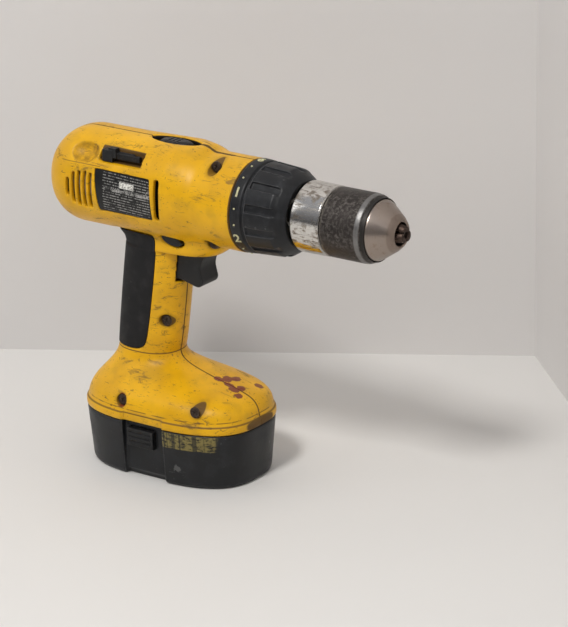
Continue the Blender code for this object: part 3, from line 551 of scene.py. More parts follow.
def handleShape(grow=0.0, ledgeMoves=True, count=112):
    ledge = ledgeHeight - (grow if ledgeMoves else 0)
    rings = []
    heights = [58, 66] + [handleFoot + 4 * i for i in range(16)] + [ledge - 0.2]
    for z in heights:
        share = min(max((z - handleFoot) / (ledgeHeight - handleFoot), 0), 1)
        back = -40.5 + 8.0 * share ** 1.25
        front = 0.8 + 9.4 * share ** 0.8
        half = 16.8 + 0.5 * abs(z - 96) / 40
        rings.append(levelRing(z, back - grow, front + grow, half + grow, 2.3, count))
    for rise, back, front, half in ledgeRows:
        rings.append(levelRing(ledge + rise, back - grow, front + grow, half + grow, 2.4, count))
    return skin("handle", rings)


def footShape(grow=0.0, start=0.0, count=160):
    rows = list(lipRows) + curveThrough(footRows, per=4, closed=False)
    rings = []
    for rise, backIn, frontIn, sideIn, power in rows:
        z = footBottom + rise
        if rise == 0:
            z -= start
        elif rise > 10 and grow < 0:
            z += grow * 0.9
        back = -footHalfLength + backIn - grow
        front = footHalfLength - frontIn + grow
        rings.append(levelRing(z, back, front, footHalfWidth - sideIn + grow, power, count))
    return skin("foot", rings)


def knobOutline(play=0.0, count=48):
    made = []
    tilt = math.radians(knobHole["tilt"])
    middleX, middleZ = knobHole["place"]
    for i in range(count):
        angle = 2 * math.pi * i / count
        u = (knobHole["long"] - play * 1.125) * math.cos(angle)
        v = (knobHole["high"] - play) * math.sin(angle) * (0.8 + 0.2 * abs(math.sin(angle)))
        x = middleX + u * math.cos(tilt) - v * math.sin(tilt)
        made.append((x, middleZ + u * math.sin(tilt) + v * math.cos(tilt)))
    return made


def edgeBlock(outline, inset, low, high, middle):
    moved = []
    for x, z in outline:
        shiftX = math.copysign(inset, x - middle[0]) if x > -60 else 0
        moved.append((x - shiftX, z - math.copysign(inset, z - middle[1])))
    return slab("edge", moved, low, high)


def roundedEdge(outline, reach=2.5, steps=4):
    # the outline with its corners rounded
    made = []
    count = len(outline)
    for i in range(count):
        before, corner, after = (Vector(outline[(i + k) % count]) for k in (-1, 0, 1))
        start = corner + (before - corner).normalized() * min(reach, (before - corner).length * 0.4)
        end = corner + (after - corner).normalized() * min(reach, (after - corner).length * 0.4)
        for k in range(steps + 1):
            t = k / steps
            made.append(tuple(start.lerp(corner, t).lerp(corner.lerp(end, t), t)))
    return made


def makeHousing():
    solid = merge(barrelShape(), handleShape(), footShape())
    for x, reach in vents:
        for side in (-1, 1):
            low, high = sorted((side * 20, side * 40))
            start = (x - ventHalf, low, axisZ - reach)
            carve(solid, block(start, (x + ventHalf, high, axisZ + reach - 0.7)))
    for side in (-1, 1):
        low, high = sorted((side * 22, side * 40))
        carve(solid, block((slot["back"], low, slot["low"]), (slot["front"], high, slot["high"])))
        low, high = sorted((side * 10, side * 30))
        carve(solid, slab("knobHole", knobOutline(), low, high))
        low, high = sorted((side * 37.0, side * 60))
        carve(solid, block((channel["back"], low, 20), (channel["front"], high, 41.6)))
    carve(solid, skin("selectorHole", [levelRing(z, -15.2, 20.2, 6.6, 1.9, 64) for z in (194, 213)]))
    carve(solid, block((-2, -8.9, 118.0), (60, 8.9, ledgeHeight)))
    for x, z, floor in screwHoles:
        carve(solid, pin((x, -60, z), (x, floor + 1.5, z), 3.9))
    carve(solid, slab("pocket", roundedEdge(pocketEdge, 2.0), -40, -18.6), ball(*thumbScoop))
    mould(solid, 0.7, 5)
    recess = limit(handleShape(3, False), slab("recess", roundedEdge(gripEdge, 4), -30, 30))
    carve(recess, handleShape(-2, False), barrelShape(-0.2))
    carve(solid, recess, solver="EXACT")
    labelHole = carve(edgeBlock(roundedEdge(labelEdge, 1.2), 0, -40, -15, (-14, 173.5)), barrelShape(-0.9))
    carve(solid, labelHole)
    hollow = merge(barrelShape(-2.8, 48), handleShape(-2.8, True, 48), footShape(-2.8, 8, 64))
    carve(hollow, block((-60, -40, 188.7), (-3.6, -16.8, 210)))
    for x, z, floor in screwHoles:
        if z < 60:
            carve(hollow, block((x - 5.6, -50, z - 5.6), (x + 5.6, floor + 2.4, z + 5.6)))
        else:
            carve(hollow, pin((x, -50, z), (x, floor + 2.4, z), 5.6))
    carve(solid, hollow)
    carve(solid, pin((50, 0, axisZ), (70, 0, axisZ), 13.5, 64))
    return halve(solid, "housingRight", "housingLeft", housing["seam"])


# red paint on the foot: where each spot is, and how narrow it is along each axis
paintSpots = (
    ((28.2, 0.4, 58.4), (0.50, 0.55, 0.5)), ((31.4, 4.6, 57.5), (0.45, 0.34, 0.5)),
    ((34.2, 9.6, 56.4), (0.55, 0.42, 0.5)), ((36.6, -0.4, 56.2), (0.36, 0.60, 0.5)),
    ((41.2, -2.2, 55.1), (0.40, 0.50, 0.5)), ((43.0, 2.6, 54.6), (0.60, 0.50, 0.5)),
    ((47.1, -5.6, 53.0), (0.60, 0.55, 0.5)), ((46.3, 16.2, 52.3), (0.55, 0.50, 0.4)),
)


def yellowPlastic():
    f = Finish("yellowPlastic", IOR=1.5, Specular_IOR_Level=0.30)
    x, y, z = f.axes()
    colour = f.mix(f.step(f.noise(26, detail=3), 0.35, 0.7), (0.66, 0.345, 0.003), (0.79, 0.425, 0.004))
    haze = f.step(f.noise(13, detail=5, shift=3), 0.46, 0.74) * 0.5
    colour = f.mix(haze, colour, (0.47, 0.265, 0.016))
    streaks = f.step(f.noise(6, (2.2, 1, 0.6), 7, 0.72, 9, 0.8), 0.545, 0.64)
    streaks = streaks * f.step(f.noise(22, detail=2, shift=5), 0.38, 0.52)
    specks = f.step(f.noise(1.4, detail=3, shift=21), 0.63, 0.70)
    specks = specks * f.step(f.noise(15, detail=2, shift=13), 0.46, 0.60)
    strokes = f.step(f.noise(2.6, (2.6, 0.8, 0.45), 3, 0.6, 33, 1.2), 0.64, 0.69)
    strokes = strokes * f.step(f.noise(17, detail=2, shift=41), 0.42, 0.58)
    marks = f.greater(f.greater(streaks * 0.62, specks * 0.75), strokes * 0.9)
    colour = f.mix(marks, colour, (0.085, 0.052, 0.022))
    hollow = f.step(f.curvature(), 0.492, 0.462) * (0.35 + 0.65 * f.noise(6, detail=3, shift=31))
    wide = f.near(x, 31.0, 11.0, 4.0) * f.step(z, 185.0, 190.0) * f.noise(5, detail=3, shift=6)
    seam = f.step(abs(y) - 1.5 * wide, 0.75, 0.3)
    ring = f.near(z, 72.0, 0.18, 0.35)
    # painted shade: dark lines at z 40.5 and 42.9 stand in for the shade in the skirt's step and groove
    grooveShade = f.near(z, 42.9, 0.1, 0.35) * f.step(f.noise(9, shift=4), 0.38, 0.5)
    border = f.near(z, 187.7, 0.1, 0.3) * f.near(x, -49.0, 14.0, 1.0)
    lines = f.greater(f.greater(f.near(z, 40.5, 0.25, 0.45), grooveShade), border * 0.8)
    front = f.near(x, 59.0, 0.5, 0.5)
    # dark brown marks, part grime and part painted shade: the seams and the handle line are joints, the hollows
    # and the front edge are darker, and the skirt lines, the thumb scoop, the pocket and the screw holes carry
    # painted shade
    grimeAndShade = f.greater(f.greater(seam * 0.9, ring * 0.85), f.greater(lines * 0.75, hollow * 0.8))
    # the thumb scoop is painted brown: part grime, part painted shade of its hollow
    scoopShadeAndGrime = f.step(f.away(thumbScoop[0], (0.80, 1, 1)) + 2.2 * f.noise(4, shift=7), 11.0, 9.4)
    grimeAndShade = f.greater(grimeAndShade, scoopShadeAndGrime * (0.5 + 0.5 * f.noise(5, shift=2)))
    rightSide = f.step(y, 0.0, -5.0)
    # painted shade: the inside of the bit pocket and of each screw hole is painted dark, as the shade that falls
    # in them; the ring around each hole is dirt
    pocket = f.near(x, -21.5, 15.8, 0.5) * f.near(z, 194.3, 4.0, 0.5) * f.step(y, -23.6, -22.0) * rightSide
    holeShadeAndRims = pocket * 0.93
    for holeX, holeZ, floor in screwHoles:
        gone = f.away((holeX, 0.0, holeZ), (1, 0, 1))
        holeShadeAndRims = f.greater(holeShadeAndRims, f.step(gone, 4.15, 3.7) * rightSide * 0.88)
        rim = f.step(gone, 5.8, 4.0) * rightSide * 0.42 * f.noise(4, detail=3, shift=19)
        holeShadeAndRims = f.greater(holeShadeAndRims, rim)
    grimeAndShade = f.greater(f.greater(grimeAndShade, front * 0.9), holeShadeAndRims)
    colour = f.mix(grimeAndShade, colour, (0.070, 0.036, 0.014))
    # painted shade: the walls of the selector's opening are painted near black, as the shade inside it
    openingShade = f.step(f.away((2.5, 0.0, 0.0), (0.0562, 0.149, 0)), 1.04, 1.0) * f.step(z, 202.9, 202.3)
    openingShade = openingShade * f.step(z, 190.0, 191.0)
    colour = f.mix(openingShade, colour, (0.012, 0.011, 0.011))
    spill = None
    for point, scale in paintSpots:
        gone = f.away(point, scale) + 1.5 * f.noise(2.0, detail=3, shift=17)
        mask = f.step(gone, 2.35, 2.15)
        spill = mask if spill is None else f.greater(spill, mask)
    colour = f.mix(spill * 0.92, colour, (0.165, 0.026, 0.016))
    rearX, rearZ, rearFloor = screwHoles[3]
    red = f.step(f.away((rearX, rearFloor, rearZ)), 5.2, 3.8) * f.step(x, -20.6, -18.8)
    colour = f.mix(red * 0.8, colour, (0.22, 0.035, 0.015))
    roughness = 0.33 + 0.12 * f.noise(8, detail=4, shift=6) + 0.25 * marks + 0.3 * grimeAndShade
    height = 0.5 * f.noise(0.9, detail=3, shift=8) + 2.2 * f.noise(14, detail=1, shift=1)
    height = height - 0.8 * marks - 1.2 * seam
    return f.set(colour, roughness, None, height, 0.06)


yellow = yellowPlastic()
right, left = makeHousing()
fit(dress(right, yellow), "housing", "housing_right")
fit(dress(left, yellow), "housing", "housing_left")
print("housing", len(right.data.polygons), len(left.data.polygons))


# Rubber grip

def blackRubber():
    f = Finish("blackRubber", Specular_IOR_Level=0.28)
    dust = f.step(f.noise(9, detail=5, shift=4), 0.45, 0.8)
    colour = f.mix(dust, (0.0075, 0.0073, 0.0080), (0.021, 0.020, 0.020))
    edge = f.step(f.curvature(), 0.515, 0.56)
    colour = f.mix(edge * 0.5, colour, (0.040, 0.038, 0.036))
    grain = f.noise(0.55, detail=2, shift=3)
    return f.set(colour, 0.58 + 0.2 * f.noise(6, shift=9), None, grain, 0.05)


def makeGrip():
    shape = handleShape(0.35, False)
    carve(shape, handleShape(-1.6, False))
    limit(shape, edgeBlock(roundedEdge(gripEdge, 4), 0.35, -30, 30, (-40, 112)))
    carve(shape, barrelShape(0.4))
    return [mould(half, 0.45, 3) for half in halve(shape, "gripRight", "gripLeft", housing["seam"])]


rubber = blackRubber()
right, left = makeGrip()
fit(dress(right, rubber), "housing", "grip_right")
fit(dress(left, rubber), "housing", "grip_left")
print("grip")


# Nameplate

def platePrint():
    f = Finish("platePrint", Specular_IOR_Level=0.3)
    x, y, z = f.axes()
    tilted = z + 0.03 * x
    row = (186.9 - tilted) / 1.62
    whole = f.node("ShaderNodeMath", {"operation": "FLOOR"}, {0: row})
    inRow = f.near(row - whole, 0.5, 0.12, 0.1)
    strokes = f.step(f.noiseAt(x * 1.5, whole * 5.3, 2.0), 0.42, 0.52)
    words = f.step(f.noiseAt(x * 0.16, whole * 3.1, 1.0), 0.30, 0.38)
    margin = f.near(x, -14.2, 17.2, 0.3) * f.near(tilted, 173.4, 11.4, 0.2)
    marks = inRow * strokes * words * margin
    bold = f.near(tilted, 175.0, 0.8, 0.15) * f.near(x, -14, 16.4, 0.3) * f.step(
        f.noise(0.9, detail=1, shift=12), 0.40, 0.46
    )
    patch = f.near(x, -13.8, 5.2, 0.15) * f.near(tilted, 179.0, 1.7, 0.15)
    ring = f.near(f.away((2.2, -28, 177.2), (1, 0, 1)), 1.5, 0.18, 0.12)
    ink = f.greater(f.greater(marks * 0.72, bold * 0.8), ring * 0.6)
    worn = f.step(f.noise(7, detail=4, shift=2), 0.36, 0.5)
    colour = f.mix(ink * worn, (0.008, 0.008, 0.008), (0.40, 0.39, 0.37))
    colour = f.mix(patch, colour, (0.72, 0.71, 0.66))
    stamp = f.step(f.noise(0.8, detail=2, shift=8), 0.5, 0.56)
    colour = f.mix(patch * stamp * 0.7, colour, (0.12, 0.11, 0.10))
    return f.set(colour, 0.26 + 0.2 * f.noise(5, detail=3), None, f.noise(3, detail=2), 0.03)


plate = edgeBlock(roundedEdge(labelEdge, 1.2), 0.35, -40, -15, (-14, 173.5))
limit(plate, barrelShape(-0.2))
carve(plate, barrelShape(-0.65))
plate.name = "plateFace"
plate.data.shade_smooth()
plate.data.set_sharp_from_angle(angle=math.radians(40))
fit(dress(plate, platePrint()), "housing", "nameplate")
print("nameplate")


# Screws and bit clip

def steel(name, base, dark, rough, size=3.0, stretch=(1, 1, 1), stain=0.5, shift=0):
    f = Finish(name, Metallic=1.0)
    spots = f.step(f.noise(size, stretch, 5, 0.65, shift), 0.48, 0.70)
    colour = f.mix(spots * stain, base, dark)
    roughness = rough + 0.22 * f.noise(size * 0.6, stretch, 3, 0.5, shift + 4) + 0.2 * spots * stain
    return f.set(colour, roughness, None, f.noise(size * 0.3, stretch, 2, 0.5, shift + 7), 0.012)


screwHead = dict(radius=3.3, rise=1.3, crossLong=1.9, crossHalf=0.35, crossFloor=0.7)
screwSteel = steel("screwSteel", (0.085, 0.065, 0.052), (0.025, 0.014, 0.009), 0.42, 1.4)
screwNames = ("screw_front_top", "screw_trigger", "screw_handle", "screw_foot_rear", "screw_foot_front")
for name, (x, z, floor) in zip(screwNames, screwHoles):
    head = pin((x, floor + screwHead["rise"], z), (x, floor - 0.1, z), screwHead["radius"])
    long, half = screwHead["crossLong"], screwHead["crossHalf"]
    for turn in (0, math.pi / 2):
        spin = Matrix.Translation((x * mm, 0, z * mm)) @ Matrix.Rotation(turn + 0.4, 4, "Y")
        carve(head, block((-long, floor - 3, -half), (long, floor + screwHead["crossFloor"], half), spin))
    head.name = name.replace("screw_", "head_")
    soften(head, 0.25, 3)
    fit(dress(head, screwSteel), "housing", name)


def blackPlastic(
    name, base=(0.0075, 0.0075, 0.008), dust=(0.030, 0.030, 0.029), rough=0.42, grime=0.5, size=6, shift=0,
):
    f = Finish(name, Specular_IOR_Level=0.32)
    cloud = f.step(f.noise(size, detail=5, rough=0.62, shift=shift), 0.48, 0.78) * grime
    colour = f.mix(cloud, base, dust)
    edge = f.step(f.curvature(), 0.52, 0.57)
    colour = f.mix(edge * 0.55, colour, tuple(min(1, v * 1.9) for v in dust))
    scratch = f.step(f.noise(1.6, (4, 0.5, 0.6), 4, 0.6, shift + 6), 0.66, 0.72)
    colour = f.mix(scratch * 0.4, colour, tuple(min(1, v * 2.2) for v in dust))
    roughness = rough + 0.22 * cloud + 0.12 * f.noise(3, shift=shift + 2)
    return f.set(colour, roughness, None, f.noise(0.8, detail=3, shift=shift + 3), 0.04)


clipFoot = -18.9
clipPads = (
    (-34.6, -27.4, 190.7, 198.0, 5.2), (-30.4, -25.2, 193.4, 199.2, 4.6), (-27.6, -9.0, 192.4, 196.0, 2.9),
)
clip = block((-33, clipFoot - 1.2, 192.2), (-14, clipFoot, 196.6))
for x0, x1, z0, z1, out in clipPads:
    merge(clip, block((x0, clipFoot - out, z0), (x1, clipFoot - 0.4, z1)))
clip.name = "bitClip"
mould(clip, 0.3, 2)
fit(dress(clip, blackPlastic("clipPlastic", size=3)), "housing", "bit_clip")
print("screws and clip")


# Speed selector, direction button and trigger

def makeSelector():
    shape = skin("speedPlate", [
        [(1.2 + u, v, z) for u, v in oval(20.2, 7.5, 7.5, 3, 64)] for z in (197.4, 198.8)
    ])
    pad = skin("pad", [
        levelRing(198.0, -9.6, 14.6, 5.4, 2.2, 64), levelRing(201.6, -9.2, 14.2, 5.2, 2.2, 64),
        levelRing(202.7, -7.6, 12.6, 4.6, 2.2, 64), levelRing(203.4, -4.6, 9.6, 3.4, 2.2, 64),
    ])
    merge(shape, pad)
    for i in range(3):
        carve(shape, block((-1.6 + 3 * i, -3.6, 202.7), (-0.5 + 3 * i, 3.6, 205)))
    return mould(shape, 0.35, 3)


selector = makeSelector()
dress(selector, blackPlastic("selectorPlastic", rough=0.3, size=4, shift=3))
fit(selector, "speed_slider", "speed_selector")

knob = slab("directionKnob", knobOutline(knobHole["play"]), -18.1, 18.1)
carve(knob, block((-20, -13.2, 147.6), (40, 13.2, 160)))
mould(knob, 0.4, 3)
dress(knob, blackPlastic("knobPlastic", rough=0.36, size=4, shift=5))
fit(knob, "direction_slider", "direction_button")

triggerSide = (
    (3, 137), (12, 137.6), (23.4, 137.6), (24.9, 136.0), (23.4, 131.8), (22.8, 128.2),
    (23.8, 123.6), (24.4, 120.8), (23.2, 118.2), (20.2, 117.2), (14.4, 118.6), (9, 119.9), (3, 120.4),
)
triggerRear = [(-4.9, 121.2), (-4.9, 134.4)]
triggerHalf = 8.4
triggerEdge = triggerRear + curveThrough(triggerSide, per=4, closed=False)
trigger = slab("triggerLever", triggerEdge, -triggerHalf, triggerHalf)
soften(trigger, 2.6, 6, 55)
mould(trigger, 0.45, 3)
dress(trigger, blackPlastic("triggerPlastic", rough=0.34, size=7, grime=0.35, shift=8))
fit(trigger, "trigger_body", "trigger")
print("selector, knob and trigger")


# Torque collar

collarSection = (
    (59.4, 27.5), (59.8, 27.9), (65.6, 27.5), (66.2, 27.1), (66.6, 25.9), (68.2, 25.8), (68.5, 27.3),
    (85.8, 26.1), (87.6, 24.9), (89.0, 24.1), (91.6, 22.3), (93.6, 20.4), (94.0, 19.6), (93.2, 18.6),
    (89.5, 16.5), (88.6, 13.5), (84.4, 13.5), (84.0, 21.4), (62.0, 24.4), (59.4, 24.4),
)
grooves = dict(count=12, back=66.8, front=88.4, half=2.35, floor=31.2, lean=4.6)
collarMarks = dict(
    height=5.9, start=60.0, radius=27.95, lift=0.14, numbers=6, step=-60.0, first=92.0, taper=0.066,
    dotPlace=62.6, dotRadius=0.62, dotSink=0.25,
)


def collarPlastic():
    f = Finish("collarPlastic", Specular_IOR_Level=0.32)
    x, y, z = f.axes()
    cloud = f.step(f.noise(7, detail=5, rough=0.65, shift=2), 0.44, 0.75)
    colour = f.mix(cloud * 0.7, (0.008, 0.0085, 0.010), (0.030, 0.032, 0.036))
    edge = f.step(f.curvature(), 0.512, 0.55)
    colour = f.mix(edge * 0.55, colour, (0.075, 0.075, 0.078))
    scratch = f.step(f.noise(1.4, (5, 0.6, 0.6), 4, 0.6, 14), 0.64, 0.72)
    scratch = scratch * f.step(f.noise(14, shift=3), 0.4, 0.6)
    colour = f.mix(scratch * 0.4, colour, (0.11, 0.11, 0.11))
    bare = f.near(x, 89.5, 2.0, 1.0) * f.step(f.noise(5, detail=3, shift=1), 0.4, 0.6)
    colour = f.mix(bare * 0.4, colour, (0.006, 0.006, 0.006))
    return f.set(colour, 0.36 + 0.25 * cloud + 0.1 * f.noise(3), None, f.noise(0.7, detail=3), 0.04)


def makeCollar():
    shape = lathe("torqueCollar", collarSection, 144)
    g = grooves
    lean = Matrix.Rotation(math.radians(g["lean"]), 4, "Y")
    for i in range(g["count"]):
        angle = 2 * math.pi * (i + 0.5) / g["count"]
        spin = Matrix.Translation((0, 0, axisZ * mm)) @ Matrix.Rotation(angle, 4, "X") @ lean
        carve(shape, block((g["back"], -g["half"], g["floor"]), (g["front"], g["half"], 38), spin))
    return mould(shape, 0.42, 3)


def wrapOnCollar(shape, angle, start):
    # lays a flat drawing on the collar's rear band
    c = collarMarks
    for step in range(-8, 9):
        cutAt = step * 0.45 * mm
        drawing = shape.verts[:] + shape.edges[:] + shape.faces[:]
        bmesh.ops.bisect_plane(shape, geom=drawing, plane_co=(0, cutAt, 0), plane_no=(0, 1, 0))
    for vert in shape.verts:
        radius = c["radius"] - c["taper"] * (start + vert.co.x / mm - 59.8)
        radius += c["lift"] if vert.co.z > 0 else -c["lift"]
        turn = math.radians(angle) + vert.co.y / (c["radius"] * mm)
        vert.co = (
            start * mm + vert.co.x, -radius * mm * math.cos(turn), axisZ * mm + radius * mm * math.sin(turn)
        )


def makeMarks():
    c = collarMarks
    whole = bmesh.new()
    for i in range(c["numbers"]):
        drawn = bpy.data.curves.new("number", "FONT")
        drawn.body = str((i + 5) % 6 + 1)
        drawn.size = c["height"] * 1.38 * mm
        drawn.extrude = 0.06 * mm
        drawn.offset = 0.2 * mm
        drawn.align_y = "CENTER"
        text = addObject("number", drawn)
        bpy.context.view_layer.update()
        made = bpy.data.meshes.new_from_object(text.evaluated_get(bpy.context.evaluated_depsgraph_get()))
        bpy.data.objects.remove(text, do_unlink=True)
        shape = bmesh.new()
        shape.from_mesh(made)
        wrapOnCollar(shape, c["first"] + i * c["step"], c["start"] + 0.6)
        shape.to_mesh(made)
        shape.free()
        whole.from_mesh(made)
    for i in range(c["numbers"] * 3 - 2):
        if i % 3:
            angle = math.radians(c["first"] + i * c["step"] / 3)
            radius = c["radius"] - c["dotSink"]
            spot = Vector((c["dotPlace"], -radius * math.cos(angle), axisZ + radius * math.sin(angle))) * mm
            bmesh.ops.create_uvsphere(
                whole, u_segments=16, v_segments=8, radius=c["dotRadius"] * mm, matrix=Matrix.Translation(spot),
            )
    return addShape("collarNumbers", whole)


def markPaint():
    f = Finish("markPaint")
    worn = f.step(f.noise(1.2, detail=4, shift=3), 0.40, 0.62)
    colour = f.mix(worn, (0.66, 0.63, 0.36), (0.42, 0.40, 0.24))
    return f.set(colour, 0.5 + 0.2 * worn, None, f.noise(0.6), 0.03)


collar = makeCollar()
fit(dress(collar, collarPlastic()), "torque_ring", "torque_collar")
fit(dress(makeMarks(), markPaint()), "torque_ring")
print("torque collar", len(collar.data.polygons))


# Chuck

def brightRing():
    f = Finish("brightRing", Metallic=1.0)
    x, y, z = f.axes()
    stain = f.step(f.noise(5.5, (1.4, 1, 1), 6, 0.7, 3, 0.5), 0.50, 0.62)
    fine = f.step(f.noise(1.1, (7, 1, 1), 4, 0.6, 9), 0.52, 0.64)
    colour = f.mix(stain * 0.8, (0.62, 0.60, 0.57), (0.16, 0.125, 0.09))
    colour = f.mix(fine * 0.55, colour, (0.15, 0.12, 0.09))
    rim = f.greater(f.step(x, 98.2, 97.2), f.step(x, 115.2, 116.0))
    colour = f.mix(rim * 0.5, colour, (0.10, 0.09, 0.08))
    return f.set(colour, 0.13 + 0.22 * stain + 0.2 * fine, None, f.noise(4, (3, 1, 1), 3, shift=5), 0.05)


def darkSleeve():
    f = Finish("darkSleeve", Metallic=0.75)
    x, y, z = f.axes()
    mottle = f.step(f.noise(2.0, (1, 1, 1), 6, 0.75, 2), 0.44, 0.66)
    patches = f.step(f.noise(9, detail=3, shift=8), 0.42, 0.66)
    colour = f.mix(mottle, (0.034, 0.029, 0.026), (0.150, 0.134, 0.122))
    colour = f.mix(patches * 0.55, colour, (0.050, 0.042, 0.038))
    bare = f.near(x, 141.7, 0.9, 0.9) * (0.35 + 0.65 * f.noise(3, shift=1))
    colour = f.mix(bare, colour, (0.25, 0.245, 0.24))
    band = f.step(x, 143.4, 143.9)
    colour = f.mix(band * 0.9, colour, (0.030, 0.027, 0.025))
    edge = f.step(f.noise(3, shift=4), 0.4, 0.6) * f.step(x, 118.6, 117.8)
    colour = f.mix(edge * 0.5, colour, (0.25, 0.22, 0.18))
    grain = f.noise(0.9, detail=5, rough=0.7, shift=6)
    return f.set(colour, 0.46 + 0.2 * mottle - 0.15 * bare, None, grain, 0.10)


def turnedSteel():
    f = Finish("turnedSteel", Metallic=1.0)
    x, y, z = f.axes()
    rings = f.noiseAt(x * 5.0, 0.0, 4.0)
    colour = f.mix(rings, (0.225, 0.18, 0.15), (0.40, 0.34, 0.30))
    rust = f.step(f.noise(4, detail=5, shift=3), 0.55, 0.72)
    colour = f.mix(rust * 0.45, colour, (0.24, 0.16, 0.12))
    tip = f.step(x, 155.9, 157.0)
    colour = f.mix(tip * 0.55, colour, (0.20, 0.15, 0.12))
    return f.set(colour, 0.24 + 0.16 * rings + 0.2 * rust, None, rings, 0.02)


ringSection = (
    (96.5, 20.3), (97.3, 21.0), (105.6, 20.9), (115.4, 20.7), (116.3, 20.0), (116.3, 18.9), (103.8, 18.9),
    (103.6, 13.9), (97.4, 13.9),
)
sleeveSection = (
    (116.6, 20.0), (117.5, 20.5), (139.6, 20.5), (141.6, 20.3), (143.2, 19.7), (143.7, 19.1), (144.2, 19.0),
    (146.2, 18.7), (146.2, 18.25), (135, 18.25), (134.4, 18.9), (116.6, 18.9),
)
coneSection = (
    (94.9, 6.3), (94.9, 10.5), (97.0, 13.6), (104.0, 13.6), (104.4, 17.6), (120.4, 17.6), (120.4, 15.5),
    (128.6, 15.5), (128.6, 17.6), (146.4, 17.9), (147.2, 17.6), (156.6, 11.2), (159.6, 8.4), (159.9, 7.6),
    (159.3, 6.9), (150, 6.6), (148, 6.9), (140, 6.9), (138, 5.2), (113, 5.2), (113, 3.3), (110.8, 3.3),
    (110.8, 6.3),
)
jawFit = dict(count=3, lean=14, crossing=170.0, radius=3.2, bore=3.5, length=40.6, tip=162.8, grip=2.0, gap=0.18)


# One jaw, cut to its own third of the circle, so that the three meet at the axis
def makeJaw(crossing, back, angle):
    jaw = pin(crossing + back * 2, crossing + back * jawFit["length"], jawFit["radius"])
    carve(jaw, block((jawFit["tip"], -50, 100), (213, 50, 250)))
    carve(jaw, pin((140, 0, axisZ), (190, 0, axisZ), jawFit["grip"]))
    for side in (1, -1):
        turn = Matrix.Rotation(angle + side * math.radians(150), 4, "X")
        spin = Matrix.Translation((0, 0, axisZ * mm)) @ turn
        carve(jaw, block((100, -jawFit["gap"], -20), (200, 20, 20), spin))
    return soften(jaw, 0.2, 2, 40)


def makeChuck():
    ringShape = soften(lathe("chuckRing", ringSection), 0.25)
    sleeve = soften(lathe("chuckSleeve", sleeveSection), 0.18)
    body = lathe("chuckCone", coneSection, 96)
    jaws = []
    lean = math.radians(jawFit["lean"])
    for i in range(jawFit["count"]):
        angle = math.pi / 2 + 2 * math.pi * i / jawFit["count"]
        outward = Vector((0, math.cos(angle), math.sin(angle)))
        back = Vector((-math.cos(lean), 0, 0)) + outward * math.sin(lean)
        crossing = Vector((jawFit["crossing"], 0, axisZ))
        carve(body, pin(crossing + back * 2, crossing + back * 66.5, jawFit["bore"]))
        jaws.append(makeJaw(crossing, back, angle))
        jaws[-1].name = f"chuckJaw{i + 1}"
    soften(body, 0.2, 2, 30)
    return ringShape, sleeve, body, jaws


ringShape, sleeve, body, jaws = makeChuck()
fit(dress(ringShape, brightRing()), "output_spindle", "chuck_rear_sleeve")
fit(dress(sleeve, darkSleeve()), "clamping_sleeve", "chuck_front_sleeve")
fit(dress(body, turnedSteel()), "output_spindle", "chuck_body")
jawSteel = steel("jawSteel", (0.075, 0.052, 0.042), (0.018, 0.012, 0.010), 0.40, 1.2, (1, 1, 1), 0.8, 5)
for i, jaw in enumerate(jaws):
    fit(dress(jaw, jawSteel), f"jaw_{i + 1}", f"chuck_jaw_{i + 1}")
print("chuck")


# Battery

packRows = ((0.02, 2.4), (0.5, 1.2), (1.5, 0.3), (2.6, 0), (33.8, 0), (footBottom - 0.3, 0.5))
hollowRows = ((2.6, 3.6), (6, 2.4), (40, 2.4))
scoopRadius = 5.6  # where each channel runs out at the underside


def packRing(z, inset, power=2.8):
    lost = 3 * (1 - z / footBottom) + inset + 0.5
    return levelRing(z, -footHalfLength + lost, footHalfLength - lost, footHalfWidth + 0.2 - lost, power, 160)


def makePack():
    solid = skin("batteryCase", [packRing(*row) for row in packRows])
    back, front = channel["back"], channel["front"]
    for side in (-1, 1):
        low, high = sorted((side * 34.0, side * 60))
        carve(solid, block((back, low, -1), (front, high, 50)))
        carve(solid, pin((back, side * 36.8, -0.5), (front, side * 36.8, -0.5), scoopRadius, 48))
        low, high = sorted((side * 28, side * 60))
        carve(solid, block((-13.4, low, 19.6), (5.9, high, 31.4)))
    mould(solid, 0.6, 4)
    hollow = skin("packHollow", [packRing(*row) for row in hollowRows])
    for side in (-1, 1):
        low, high = sorted((side * 31.6, side * 60))
        carve(hollow, block((back - 2.2, low, -1), (front + 2.2, high, 50)))
    carve(solid, hollow)
    return solid


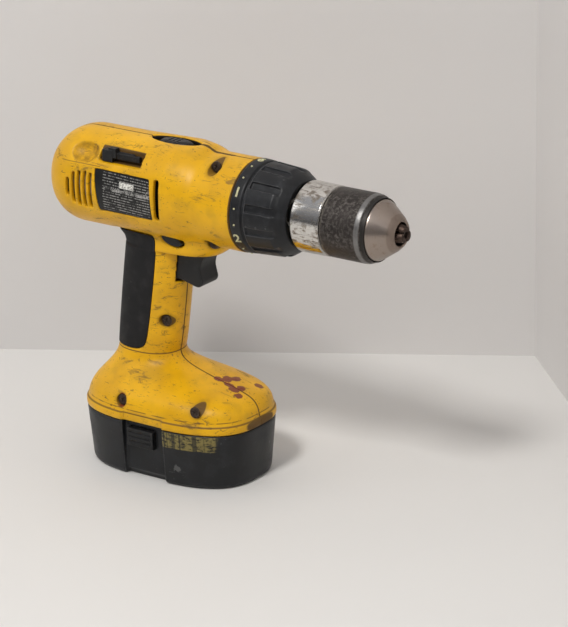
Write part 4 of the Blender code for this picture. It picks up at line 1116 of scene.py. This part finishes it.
def packPlastic():
    f = Finish("packPlastic", Specular_IOR_Level=0.34)
    x, y, z = f.axes()
    cloud = f.step(f.noise(11, detail=6, rough=0.65, shift=3), 0.44, 0.74)
    colour = f.mix(cloud * 0.6, (0.0075, 0.0080, 0.0090), (0.026, 0.028, 0.032))
    edge = f.step(f.curvature(), 0.515, 0.56) * f.step(f.noise(4, detail=3, shift=5), 0.35, 0.6)
    colour = f.mix(edge * 0.5, colour, (0.085, 0.085, 0.088))
    scuff = f.step(f.noise(3.2, (1.6, 1, 0.8), 6, 0.7, 11), 0.60, 0.68)
    scuff = scuff * f.step(f.noise(17, detail=2, shift=6), 0.52, 0.66)
    colour = f.mix(scuff * 0.5, colour, (0.10, 0.10, 0.103))
    spot = f.step(f.away((22.6, -35.6, 12.0), (0.55, 0.2, 0.6)) + 2.4 * f.noise(1.5, shift=4), 2.6, 2.1)
    colour = f.mix(spot * 0.45, colour, (0.16, 0.16, 0.155))
    strip = f.near(x, 33.7, 20.6, 0.5) * f.near(z, 29.6, 4.6, 0.4) * f.step(y, -28.0, -30.0)
    columns = f.step(f.noiseAt(x * 0.30, 0.0, 1.0), 0.42, 0.50)
    chips = f.step(f.noise(2.6, (1.4, 1, 0.7), 5, 0.65, 2), 0.36, 0.56)
    fade = strip * (0.25 + 0.75 * columns) * chips
    colour = f.mix(fade * 0.75, colour, (0.27, 0.215, 0.06))
    roughness = 0.40 + 0.2 * cloud + 0.15 * scuff
    height = f.noise(0.7, detail=3) + 1.5 * f.noise(12, detail=2, shift=4)
    return f.set(colour, roughness, None, height, 0.05)


pack = makePack()
fit(dress(pack, packPlastic()), "battery_pack", "battery_case")


def makeButton(side):
    low, high = sorted((side * 32.9, side * 37.0))
    shape = block((-13.1, low, 19.9), (5.6, high, 31.1))
    low, high = sorted((side * 36.2, side * 40))
    for level in (22.2, 25.0, 27.8):
        carve(shape, block((-11.6, low, level), (4.1, high, level + 1.3)))
    return mould(shape, 0.3, 2)


buttonPlastic = blackPlastic("buttonPlastic", dust=(0.040, 0.040, 0.040), size=3, shift=9)
for name, side, bodyName in (("right", -1, "latch_right"), ("left", 1, "latch_left")):
    button = makeButton(side)
    button.name = name + "LatchButton"
    fit(dress(button, buttonPlastic), bodyName, "release_button_" + name)
print("battery", len(pack.data.polygons))


# Inner pieces keep their own shape and take their finish here

gearSteel = steel("gearSteel", (0.55, 0.54, 0.52), (0.20, 0.18, 0.16), 0.25, 2.5, (1, 1, 1), 0.4, 2)
copperWire = steel("copperWire", (0.60, 0.26, 0.12), (0.25, 0.09, 0.04), 0.3, 1.5, (4, 1, 1), 0.5, 3)
cellWrap = steel("cellWrap", (0.52, 0.53, 0.52), (0.30, 0.30, 0.28), 0.35, 6, (1, 1, 2), 0.3, 4)
contactBrass = steel("contactBrass", (0.66, 0.46, 0.18), (0.30, 0.20, 0.08), 0.3, 2, (1, 1, 1), 0.4, 6)
innerPlastic = blackPlastic("innerPlastic", rough=0.5, size=9, shift=11)
magnetStone = blackPlastic("magnetStone", base=(0.035, 0.034, 0.034), rough=0.6, size=3, shift=13)
finishes = {
    gearSteel: (
        "motor_can", "chuck_screw", "spindle", "spindle_bearing", "clutch_spring", "chuck_nut", "shift_fork",
        "clutch_nut", "pinion_gear", "ring_gear_one", "ring_gear_two", "planet_carrier", "planet_one_1",
        "planet_one_2", "planet_one_3", "planet_two_1", "planet_two_2", "planet_two_3",
    ),
    copperWire: ("armature", "commutator"),
    cellWrap: ("cells_right", "cells_middle", "cells_left", "cells_stem"),
    contactBrass: ("battery_terminals",),
    innerPlastic: ("motor_end_cap", "motor_fan", "gearcase", "switch_module", "terminal_block", "battery_cap"),
    magnetStone: ("magnet_upper", "magnet_lower", "brush_upper", "brush_lower"),
}
for material, names in finishes.items():
    for name in names:
        dress(nodes[name], material)
print("inner pieces")
